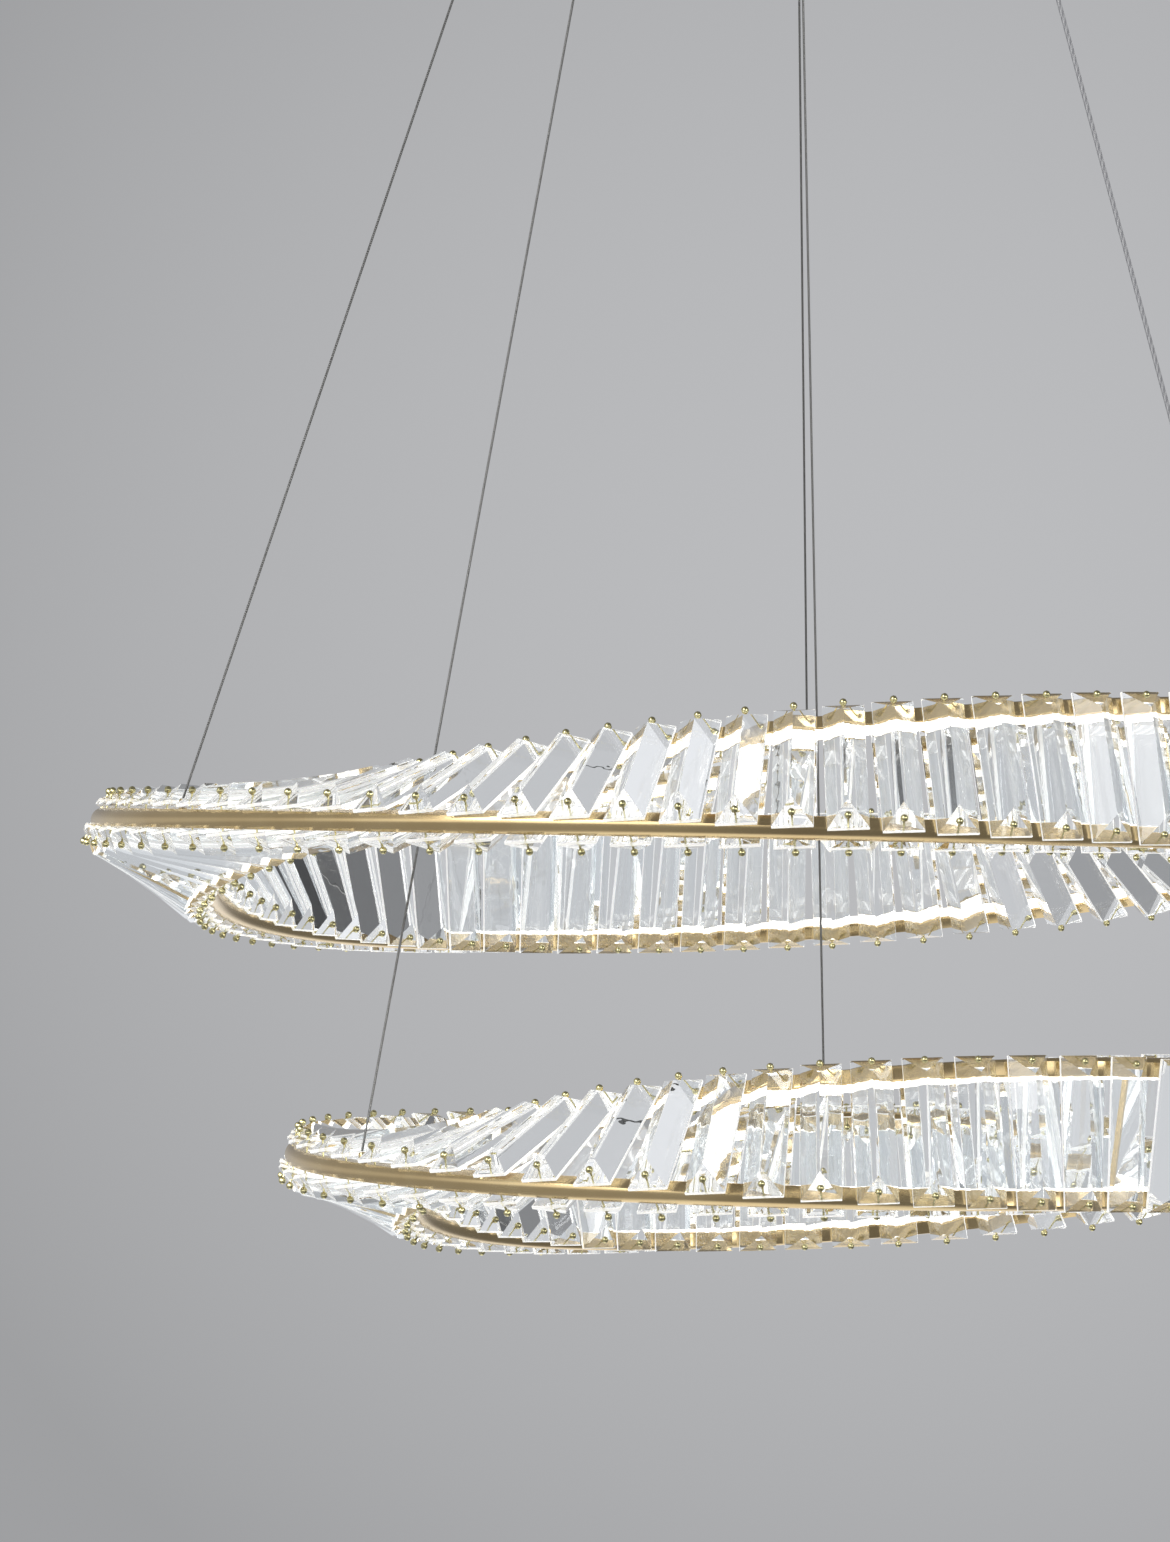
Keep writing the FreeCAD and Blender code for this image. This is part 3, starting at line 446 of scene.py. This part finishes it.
strut_shape = slab([(STRUT_HALF, 0, -STRUT_DEEP), (STRUT_HALF, STRUT_SIDE, -STRUT_DEEP),
                    (STRUT_HALF, STRUT_SIDE, STRUT_DEEP), (STRUT_HALF, 0, STRUT_DEEP)])
for name, ring in RINGS.items():
    first = ring["first_gap"] + STRUT_PITCHES[name] * 360 / ring["count"]
    azimuth = first + np.array([0, 120, 240.0])
    middle, across, face, onward = band_axes(ring, azimuth)
    axes = np.stack([across, np.cross(face, across), face], 1)
    fit(f"{name}_cross_bars", woven(stand(strut_shape, middle, axes), True, False), rail_gold,
        f"ring_{name}", [f"{name}_struts"])

# ---- LED strips
# A white circuit board glued along the inner face of each rail, under a domed lens of
# clear silicone. The chips sit 8.3 mm apart and glow warm white through it.

LENS_BACK, LENS_HALF, LENS_RISE, LENS_GIRTH = 28.5, 3.5, 1.5, 0.016
CHIP_PITCH = 0.0083
dome = np.radians(np.linspace(-90, 90, 9))
lens_section = np.stack([LENS_BACK - LENS_RISE * np.cos(dome), LENS_HALF * np.sin(dome)], -1)

# Silicone over lit chips: each chip shows as a white core about 4 mm long, and the
# board between them glows less and warmer.
lens, tree, shader = new_finish("lit_silicone_over_chips")
along_strip = add(tree, "TexCoord").outputs["UV"]
split = add(tree, "SeparateXYZ", {"Vector": along_strip})
beat = add(tree, "Math", {0: split.outputs["X"], 1: 2 * np.pi / CHIP_PITCH}, operation="MULTIPLY")
wave = add(tree, "Math", {0: beat.outputs["Value"]}, operation="SINE")
core = add(tree, "MapRange", {"Value": wave.outputs["Value"], "From Min": 0.45, "From Max": 0.9},
           interpolation_type="SMOOTHSTEP")
glow = add(tree, "Mix", {"Factor": core.outputs["Result"], "A": linear("#8f8c86"),
                         "B": linear("#fffdf8")}, data_type="RGBA")
fill(tree, shader, {"Base Color": linear("#e8e4da"), "Roughness": 0.35, "IOR": 1.41,
                    "Emission Color": glow.outputs["Result"], "Emission Strength": 4.5})
for name, ring in RINGS.items():
    span = (2 * np.pi * ring["radius"], LENS_GIRTH)
    for label, side in (("a", -1), ("b", 1)):
        skin = woven(band_bar(ring, lens_section, side), True, True, span)
        fit(f"{name}_light_strip_{label}", skin, lens, f"ring_{name}",
            [f"{name}_led_strip_{label}"], smooth=50.0)

# ---- crystals
# Bars of clear lead-free crystal, cut and polished: a flat back, a narrow upright edge,
# and four sloping facets that meet in a ridge. They lie side by side on both rails.

BAR_HALF, BAR_SIDE, BAR_HEIGHT, BAR_HIP = 38.8, 10.25, 12.0, 10.5
EDGE_LOW, EDGE_TOP, EDGE_IN, EDGE_RISE = 0.4, 2.0, 0.2, 0.25
SEAT_GAP, SEAT_STEPS = 0.3, 49


def seat(ring, azimuth, layer):
    """How high over the band's middle each bar's back lies: the highest point of the
    rails' corners under its width, seen along the face, and a small gap."""
    middle, across, face, onward = (v[:, None, None] for v in band_axes(ring, azimuth))
    spread = np.degrees(np.arcsin(BAR_SIDE * MM / (ring["radius"] - RAIL_OUT * MM)))
    near = azimuth[:, None] + np.linspace(-spread, spread, SEAT_STEPS)
    m, c, f, o = (v[:, :, None] for v in band_axes(ring, near))
    x = np.array([-RAIL_OUT, -RAIL_IN, RAIL_IN, RAIL_OUT])[:, None] * MM
    points = m + x * c + layer * RAIL_HALF * MM * f - middle
    rise = np.sum(points * face, -1) * layer
    under = np.abs(np.sum(points * onward, -1)) <= BAR_SIDE * MM
    return np.where(under, rise, RAIL_HALF * MM).max((1, 2)) + SEAT_GAP * MM


def bars(ring, layer):
    """Each bar's foot and directions: across the band, along it and out of its face."""
    azimuth = ring["first_gap"] + (np.arange(ring["count"]) + 0.5) * 360 / ring["count"]
    middle, across, face, onward = band_axes(ring, azimuth)
    outward = face * layer
    foot = middle + outward * seat(ring, azimuth, layer)[:, None]
    return foot, np.stack([across, np.cross(outward, across), outward], 1)


bar_shape = slab([
    (BAR_HALF - BAR_SIDE, 0, 0), (BAR_HALF - EDGE_LOW, BAR_SIDE - EDGE_LOW, 0),
    (BAR_HALF, BAR_SIDE, EDGE_LOW), (BAR_HALF, BAR_SIDE, EDGE_TOP),
    (BAR_HALF - EDGE_IN, BAR_SIDE - EDGE_IN, EDGE_TOP + EDGE_RISE),
    (BAR_HALF - BAR_HIP, 0, BAR_HEIGHT)])

# Cut crystal: colourless, IOR 1.54, mirror polished. Faint waves of the polishing
# wheel, about 9 mm long, break up its reflections. The upright edge, the third of the
# five steps from back to ridge, is only ground: frosted, and with a painted white glow
# in place of the strips' light that the bar carries to it, it draws each bar's outline
# as a white line.
POLISH_WAVE = 0.009
EDGE_MIDDLE, EDGE_SHARE, EDGE_ROUGHNESS, EDGE_PAINTED_GLOW = 0.5, 0.1, 0.55, 0.38
crystal, tree, shader = new_finish("cut_crystal_glass")
place = add(tree, "TexCoord").outputs["Object"]
waves = add(tree, "TexNoise", {"Vector": place, "Scale": 1 / POLISH_WAVE, "Detail": 1.0})
bump = add(tree, "Bump", {"Height": waves.outputs["Fac"], "Strength": 0.04, "Distance": 0.0004})
outline = add(tree, "SeparateXYZ", {"Vector": add(tree, "TexCoord").outputs["UV"]})
ground_edge_and_painted_glow = add(tree, "Math", {0: outline.outputs["Y"], 1: EDGE_MIDDLE, 2: EDGE_SHARE},
             operation="COMPARE")
frost = add(tree, "Math", {0: ground_edge_and_painted_glow.outputs["Value"], 1: EDGE_ROUGHNESS}, operation="MULTIPLY")
# Painted glow: the frosted edge emits a faint white light, standing in for the strips' light.
glow = add(tree, "Mix", {"Factor": ground_edge_and_painted_glow.outputs["Value"], "A": linear("#000000"),
                         "B": linear("#fffdf8")}, data_type="RGBA")
fill(tree, shader, {"Base Color": linear("#fbfdfe"), "Roughness": frost.outputs["Value"],
                    "IOR": 1.54, "Transmission Weight": 1.0, "Normal": bump.outputs["Normal"],
                    "Emission Color": glow.outputs["Result"], "Emission Strength": EDGE_PAINTED_GLOW})
for name, ring in RINGS.items():
    for label, layer in (("first", 1), ("second", -1)):
        skin = woven(stand(bar_shape, *bars(ring, layer)), True, False)
        fit(f"{name}_crystal_bars_{label}", skin, crystal, f"ring_{name}",
            [f"{name}_crystals_{label}"], smooth=1.0)

# ---- crystal pins
# A thin brass pin at each end of every bar, through a drilled hole into the rail. Its
# round head stands on the sloping end facet, 8 mm over the bar's back.

PIN_REACH, PIN_HEAD, PIN_BOTTOM, PIN_RADIUS, BALL_RADIUS = 35.6, 8.2, -3.0, 0.4, 1.95
ball = bend((0, PIN_HEAD), BALL_RADIUS, -72, 66, 6)
pin_outline = np.concatenate([[(0, PIN_BOTTOM), (PIN_RADIUS, PIN_BOTTOM)], ball,
                              [(0, PIN_HEAD + BALL_RADIUS)]])
pin_shape = turned(np.column_stack([pin_outline, 0 * pin_outline[:, 0]]), 8)

# Champagne plating over brass: a pale greenish gold with a mirror gloss.
champagne, tree, shader = new_finish("champagne_plated_brass")
place = add(tree, "TexCoord").outputs["Object"]
marks = add(tree, "TexNoise", {"Vector": place, "Scale": 700.0, "Detail": 2.0})
rough = add(tree, "MapRange", {"Value": marks.outputs["Fac"], "To Min": 0.1, "To Max": 0.22})
tone = add(tree, "Mix", {"Factor": marks.outputs["Fac"], "A": linear("#b9af7b"),
                         "B": linear("#dcd5a8")}, data_type="RGBA")
fill(tree, shader, {"Base Color": tone.outputs["Result"], "Metallic": 1.0,
                    "Roughness": rough.outputs["Result"]})
for name, ring in RINGS.items():
    feet, axes = (np.concatenate(v) for v in zip(bars(ring, 1), bars(ring, -1)))
    both = [feet + side * PIN_REACH * MM * axes[:, 0] for side in (1, -1)]
    spots, turns = np.concatenate(both), np.concatenate([axes, axes])
    fit(f"{name}_crystal_pins", woven(stand(pin_shape, spots, turns), True, False), champagne,
        f"ring_{name}")

# ---- wire posts
# Three short turned posts on each ring, screwed into the rails. The wire's end is
# crimped into the bore in the top of its post.

POST_LENGTH, POST_RADIUS, POST_REACH, POST_SEAT = 5.0, 2.4, 33.5, 0.3
POST_BORE, BORE_END = 1.25, 4.0
post_profile = [(0, 0, 0), (2.2, 0, 1), (POST_RADIUS, 0.3, 1), (POST_RADIUS, 2.4, 1),
                (2.1, 2.7, 0), (1.9, 2.8, 0), (1.9, 4.4, 0), (1.5, POST_LENGTH, 0),
                (POST_BORE, POST_LENGTH, 0), (POST_BORE, BORE_END, 0), (0, BORE_END, 0)]
post_shape = turned(post_profile, 36, flats=POST_RADIUS * np.sqrt(3))


def posts(ring):
    """Each post's foot and the direction it stands in, for the left, right and rear
    wires. Where the band lies flat it is on a rail's side, and otherwise on its back."""
    azimuth = ring["first_gap"] + np.array([0, 120, 240.0])
    middle, across, face, onward = band_axes(ring, azimuth)
    flat = (np.abs(face[:, 2]) > np.abs(across[:, 2]))[:, None]
    up_face, up_across = face * np.sign(face[:, 2:]), across * np.sign(across[:, 2:])
    outer = across * np.sign(np.sum(across * middle, -1))[:, None]
    on_side = outer * POST_REACH * MM + up_face * (RAIL_HALF + POST_SEAT) * MM
    foot = middle + np.where(flat, on_side, up_across * (RAIL_OUT + POST_SEAT) * MM)
    return foot, np.where(flat, up_face, up_across)


def frames(direction):
    """Two directions square to each given one, and itself."""
    side = np.cross(direction, (0, 1, 0))
    side /= np.linalg.norm(side, axis=-1)[:, None]
    return np.stack([side, np.cross(direction, side), direction], 1)


for name, ring in RINGS.items():
    feet, toward = posts(ring)
    fit(f"{name}_turned_posts", woven(stand(post_shape, feet, frames(toward)), True, False),
        turned_gold, f"ring_{name}", [f"{name}_wire_anchors"])

# ---- suspension wires
# Stainless steel wire rope 1.2 mm thick carries each ring at the left and rear. The
# right one is 2.4 mm: a rope with insulated leads in a clear grey jacket. All are taut.

WIRE_TOP = -0.0661
ROPE_RADIUS, CABLE_RADIUS = 0.0006, 0.0012
CRIMP_GAP = 0.0005
WIRE_SIDES = 16
STRAND_LAY, STRANDS, LEADS = 0.008, 7, 3


def straight(start, end, radius):
    """A closed round rod from one point to another, radius in metres. It has three
    steps, and its length is the middle one."""
    direction = (end - start) / np.linalg.norm(end - start)
    x, y, z = frames(direction[None])[0]
    b = -np.arange(WIRE_SIDES)[:, None] * 2 * np.pi / WIRE_SIDES
    rim = radius * (np.cos(b) * x + np.sin(b) * y)
    return np.stack([start + 0 * rim, start + rim, end + rim, end + 0 * rim])[None]


# Stainless wire rope: grey, with strands that wind round it once in 8 mm. Painted
# highlight and shade run with them in turn: lighter grey on each strand, darker between.
rope, tree, shader = new_finish("stainless_wire_rope")
along_wire = add(tree, "TexCoord").outputs["UV"]
split = add(tree, "SeparateXYZ", {"Vector": along_wire})
turns = add(tree, "Math", {0: split.outputs["X"], 1: 1 / STRAND_LAY}, operation="MULTIPLY")
phase = add(tree, "Math", {0: turns.outputs["Value"], 1: split.outputs["Y"]}, operation="ADD")
angle = add(tree, "Math", {0: phase.outputs["Value"], 1: 2 * np.pi * STRANDS}, operation="MULTIPLY")
strand = add(tree, "Math", {0: angle.outputs["Value"]}, operation="SINE")
tone = add(tree, "MapRange", {"Value": strand.outputs["Value"], "From Min": -1.0, "To Min": 0.0,
                              "To Max": 1.0})
# Painted highlight and shade: lighter and darker grey in turn along the strands, with bumps to
# match.
steel = add(tree, "Mix", {"Factor": tone.outputs["Result"], "A": linear("#5f5f5d"),
                          "B": linear("#848381")}, data_type="RGBA")
bump = add(tree, "Bump", {"Height": tone.outputs["Result"], "Strength": 0.5,
                          "Distance": 0.0001})
fill(tree, shader, {"Base Color": steel.outputs["Result"], "Metallic": 1.0, "Roughness": 0.36,
                    "Normal": bump.outputs["Normal"]})

# Soft PVC jacket over the strands: a grey plastic gloss, and the lay of the leads shows
# through as slow bands.
jacket, tree, shader = new_finish("grey_pvc_cable_jacket")
along_wire = add(tree, "TexCoord").outputs["UV"]
split = add(tree, "SeparateXYZ", {"Vector": along_wire})
turns = add(tree, "Math", {0: split.outputs["X"], 1: 0.5 / STRAND_LAY}, operation="MULTIPLY")
phase = add(tree, "Math", {0: turns.outputs["Value"], 1: split.outputs["Y"]}, operation="ADD")
angle = add(tree, "Math", {0: phase.outputs["Value"], 1: 2 * np.pi * LEADS}, operation="MULTIPLY")
lay = add(tree, "Math", {0: angle.outputs["Value"]}, operation="SINE")
tone = add(tree, "MapRange", {"Value": lay.outputs["Value"], "From Min": -1.0})
grey = add(tree, "Mix", {"Factor": tone.outputs["Result"], "A": linear("#77777a"),
                         "B": linear("#9a9a9b")}, data_type="RGBA")
fill(tree, shader, {"Base Color": grey.outputs["Result"], "Roughness": 0.3, "IOR": 1.53})

for name, ring in RINGS.items():
    tops = dict(zip([w for w, azimuth in WIRES], exits(name)))
    feet, toward = posts(ring)
    for label, foot, up in zip(("left", "right", "rear"), feet, toward):
        finish, slot, radius = ((jacket, "feed_cable", CABLE_RADIUS) if label == "right" else
                                (rope, "steel_wire", ROPE_RADIUS))
        top = np.array([*tops[label][:2], WIRE_TOP])
        low = foot + up * POST_LENGTH * MM
        direction = (top - low) / np.linalg.norm(top - low)
        low = low + direction * CRIMP_GAP
        span = (3 * np.linalg.norm(top - low), 1.0)
        skin = woven(straight(low, top, radius), False, True, span)
        wire = fit(f"{name}_hung_wire_{label}", skin, finish,
                   replaced=[f"{name}_wire_{label}"], smooth=60.0)
        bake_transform(wire)

# ---- wire tails
# The straight end of each wire inside its gripper, which stands 6 mm above the neck
# inside the canopy.

TAIL_TOP, TAIL_LENGTH = -0.042 + 0.0172, 0.04
tails = []
for name in RINGS:
    for (label, azimuth), spot in zip(WIRES, exits(name)):
        radius = CABLE_RADIUS if label == "right" else ROPE_RADIUS
        low, top = (np.array([*spot[:2], height]) for height in (WIRE_TOP, TAIL_TOP))
        tails.append(straight(low, top, radius))
fit("wire_ends", woven(np.concatenate(tails), False, True, (3 * TAIL_LENGTH, 1.0)), rope,
    "canopy", ["wire_tails"], smooth=60.0)

# ---- studio
# A pale floor well under the lamp, a grey backdrop that is lighter behind the rings,
# and four soft boxes. Glass and metal don't see the floor and the top box, but the grey
# studio, the flag and the window that the world paints for them.

FLOOR_HEIGHT, FLOOR_HALF = -1.9, 40.0
painted, tree, shader = new_finish("pale_studio_floor")
place = add(tree, "TexCoord").outputs["Object"]
cloud = add(tree, "TexNoise", {"Vector": place, "Scale": 3.0, "Detail": 3.0})
tone = add(tree, "Mix", {"Factor": cloud.outputs["Fac"], "A": linear("#c6c7c8"),
                         "B": linear("#cccdce")}, data_type="RGBA")
fill(tree, shader, {"Base Color": tone.outputs["Result"], "Roughness": 0.8})
floor_mesh = bpy.data.meshes.new("studio_floor")
h = FLOOR_HALF
floor_mesh.from_pydata([(-h, -h, FLOOR_HEIGHT), (h, -h, FLOOR_HEIGHT), (h, h, FLOOR_HEIGHT),
                        (-h, h, FLOOR_HEIGHT)], [], [(0, 1, 2, 3)])
floor_mesh.materials.append(painted)
floor = bpy.data.objects.new("studio_floor", floor_mesh)
bpy.context.scene.collection.objects.link(floor)
floor.visible_glossy = floor.visible_transmission = False

BACKDROP_CENTRE = (0.014, 0.9955, 0.0942)
world = bpy.data.worlds.new("studio_backdrop")
bpy.context.scene.world = world
world.use_nodes = True
tree = world.node_tree
tree.nodes.clear()
look = add(tree, "TexCoord").outputs["Generated"]
x, y, z = add(tree, "SeparateXYZ", {"Vector": look}).outputs

# What the camera sees: a pool of light on the backdrop, which fades out 7.6 degrees off
# its centre.
facing = add(tree, "VectorMath", {0: look, 1: BACKDROP_CENTRE}, operation="DOT_PRODUCT")
pool = add(tree, "MapRange", {"Value": facing.outputs["Value"], "From Min": 0.9912,
                              "From Max": 1.0, "To Min": 0.36, "To Max": 0.515})

# What the glass shows: a grey studio, and patches of it with more or less light.
PATCHES = (  # direction, light added, and the cosines where it starts and is full
    ((-0.121, 0.210, 0.970), 0.30, 0.95, 0.99),  # overhead
    ((0.646, 0.173, 0.743), 0.35, 0.9, 0.97),  # high on the right
    ((-0.629, -0.749, -0.208), 0.3, 0.88, 0.97),  # low on the left, behind the camera
    ((0.0, 0.669, -0.743), -0.24, 0.86, 0.96),  # a darker stretch of floor ahead
)
lit = add(tree, "MapRange", {"Value": y, "From Min": -0.4, "From Max": 0.6, "To Min": 0.70,
                             "To Max": 0.57}).outputs["Result"]
for centre, gain, start, full in PATCHES:
    near = add(tree, "VectorMath", {0: look, 1: centre}, operation="DOT_PRODUCT")
    patch = add(tree, "MapRange", {"Value": near.outputs["Value"], "From Min": start,
                                   "From Max": full, "To Max": gain},
                interpolation_type="SMOOTHSTEP")
    lit = add(tree, "Math", {0: lit, 1: patch.outputs["Result"]}).outputs["Value"]

# A long black flag hangs on the right, about 20 degrees wide. Its far end is high and
# darkest, and it falls and pales towards the camera. The normal is square to its length.
FLAG_NORMAL = (0.321, 0.4015, -0.858)
off_flag = add(tree, "VectorMath", {0: look, 1: FLAG_NORMAL}, operation="DOT_PRODUCT")
off_flag = add(tree, "Math", {0: off_flag.outputs["Value"]}, operation="ABSOLUTE")
wide = add(tree, "MapRange", {"Value": off_flag.outputs["Value"], "From Min": 0.22,
                              "From Max": 0.13}, interpolation_type="SMOOTHSTEP")
long = add(tree, "MapRange", {"Value": x, "From Min": 0.45, "From Max": 0.7},
           interpolation_type="SMOOTHSTEP")
black = add(tree, "MapRange", {"Value": y, "From Min": -1.14, "From Max": 0.47, "To Max": -0.94})
shade = add(tree, "Math", {0: wide.outputs["Result"], 1: long.outputs["Result"]},
            operation="MULTIPLY")
shade = add(tree, "Math", {0: shade.outputs["Value"], 1: black.outputs["Result"], 2: 1.0},
            operation="MULTIPLY_ADD")
through = add(tree, "Math", {0: lit, 1: shade.outputs["Value"]}, operation="MULTIPLY")

# What the gold mirrors: a dim room, a long bright window behind the camera at the
# lamp's own height, and the lit floor under and beyond the lamp.
level = add(tree, "Math", {0: z}, operation="ABSOLUTE")
band = add(tree, "MapRange", {"Value": level.outputs["Value"], "From Min": 0.26,
                              "From Max": 0.06}, interpolation_type="SMOOTHSTEP")
behind = add(tree, "MapRange", {"Value": y, "From Min": 0.1, "From Max": -0.75, "To Min": 0.2,
                                "To Max": 1.2}, interpolation_type="SMOOTHSTEP")
side = add(tree, "MapRange", {"Value": x, "From Min": 0.0, "From Max": -0.5, "To Min": 0.22,
                              "To Max": 0.42}, interpolation_type="SMOOTHSTEP")
window = add(tree, "Math", {0: band.outputs["Result"], 1: behind.outputs["Result"],
                            2: side.outputs["Result"]}, operation="MULTIPLY_ADD")
under = add(tree, "MapRange", {"Value": y, "From Min": -0.25, "From Max": 0.1},
            interpolation_type="SMOOTHSTEP")
down = add(tree, "MapRange", {"Value": z, "From Min": -0.05, "From Max": -0.2},
           interpolation_type="SMOOTHSTEP")
centred = add(tree, "Math", {0: x, 1: 0.07}, operation="ADD")
centred = add(tree, "Math", {0: centred.outputs["Value"]}, operation="ABSOLUTE")
centred = add(tree, "MapRange", {"Value": centred.outputs["Value"], "From Min": 0.4,
                                 "From Max": 0.15}, interpolation_type="SMOOTHSTEP")
beyond = add(tree, "Math", {0: under.outputs["Result"], 1: down.outputs["Result"]},
             operation="MULTIPLY")
beyond = add(tree, "Math", {0: beyond.outputs["Value"], 1: centred.outputs["Result"]},
             operation="MULTIPLY")
mirror = add(tree, "Math", {0: beyond.outputs["Value"], 1: 1.0, 2: window.outputs["Value"]},
             operation="MULTIPLY_ADD")
path = add(tree, "LightPath")
mirrored = add(tree, "Mix", {"Factor": path.outputs["Is Glossy Ray"], "A": 0.55,
                             "B": mirror.outputs["Value"]})
bent = add(tree, "Mix", {"Factor": path.outputs["Is Transmission Ray"],
                         "A": mirrored.outputs["Result"], "B": through.outputs["Value"]})
shown = add(tree, "Mix", {"Factor": path.outputs["Is Camera Ray"], "A": bent.outputs["Result"],
                          "B": pool.outputs["Result"]})
sky = add(tree, "Background", {"Color": linear("#fbfcff"), "Strength": shown.outputs["Result"]})
add(tree, "OutputWorld", {"Surface": sky.outputs["Background"]})

# All the boxes face the space between the rings. The top box would be a hard white
# square in gold and glass, and the fill box one in the glass, so they are hidden there.
BETWEEN_RINGS = (0, 0, -0.85)
SOFT_BOXES = (  # place, width and height in metres, and watts
    ("key_soft_box", (-2.6, -3.4, 0.9), 2.4, 2.4, 95.0),
    ("fill_soft_box", (3.0, -2.6, -0.6), 1.8, 1.8, 40.0),
    ("top_soft_box", (0.6, 0.4, 1.6), 2.6, 2.6, 70.0),
    ("strip_soft_box", (-2.2, -6.4, -0.95), 5.5, 1.1, 26.0),
)
for name, spot, width, height, watts in SOFT_BOXES:
    lamp = bpy.data.lights.new(name, "AREA")
    lamp.shape, lamp.size, lamp.size_y, lamp.energy = "RECTANGLE", width, height, watts
    box = bpy.data.objects.new(name, lamp)
    toward = Vector(BETWEEN_RINGS) - Vector(spot)
    turn = toward.to_track_quat("-Z", "Y").to_matrix().to_4x4()
    box.matrix_world = Matrix.Translation(spot) @ turn
    box.visible_camera = False
    box.visible_glossy = name != "top_soft_box"
    box.visible_transmission = name in ("key_soft_box", "strip_soft_box")
    bpy.context.scene.collection.objects.link(box)

# ---- camera
# A long lens 4.6 m away and a little below the lower ring, looking slightly up, as in
# the photograph. The glass needs many bounces, and no caustics.

CAMERA_AT = (0.0, -4.6400, -1.1240)
YAW, PITCH, ROLL, LENS = -0.0284, 0.0818, -0.0310, 206.4
right = np.array([np.cos(YAW), -np.sin(YAW), 0])
ahead = np.array([np.sin(YAW) * np.cos(PITCH), np.cos(YAW) * np.cos(PITCH), np.sin(PITCH)])
up = np.cross(right, ahead)
rolled = np.cos(ROLL) * right + np.sin(ROLL) * up
upward = np.cos(ROLL) * up - np.sin(ROLL) * right
lens_data = bpy.data.cameras.new("photo_camera")
lens_data.lens, lens_data.sensor_width, lens_data.clip_end = LENS, 36.0, 200.0
camera = bpy.data.objects.new("photo_camera", lens_data)
pose = np.eye(4)
pose[:3, 0], pose[:3, 1], pose[:3, 2], pose[:3, 3] = rolled, upward, -ahead, CAMERA_AT
camera.matrix_world = Matrix(pose.tolist())
bpy.context.scene.collection.objects.link(camera)
bpy.context.scene.camera = camera

scene = bpy.context.scene
scene.view_settings.view_transform = "Standard"
scene.cycles.max_bounces = 32
scene.cycles.transmission_bounces = 32
scene.cycles.glossy_bounces = 32
scene.cycles.caustics_reflective = False
scene.cycles.caustics_refractive = False
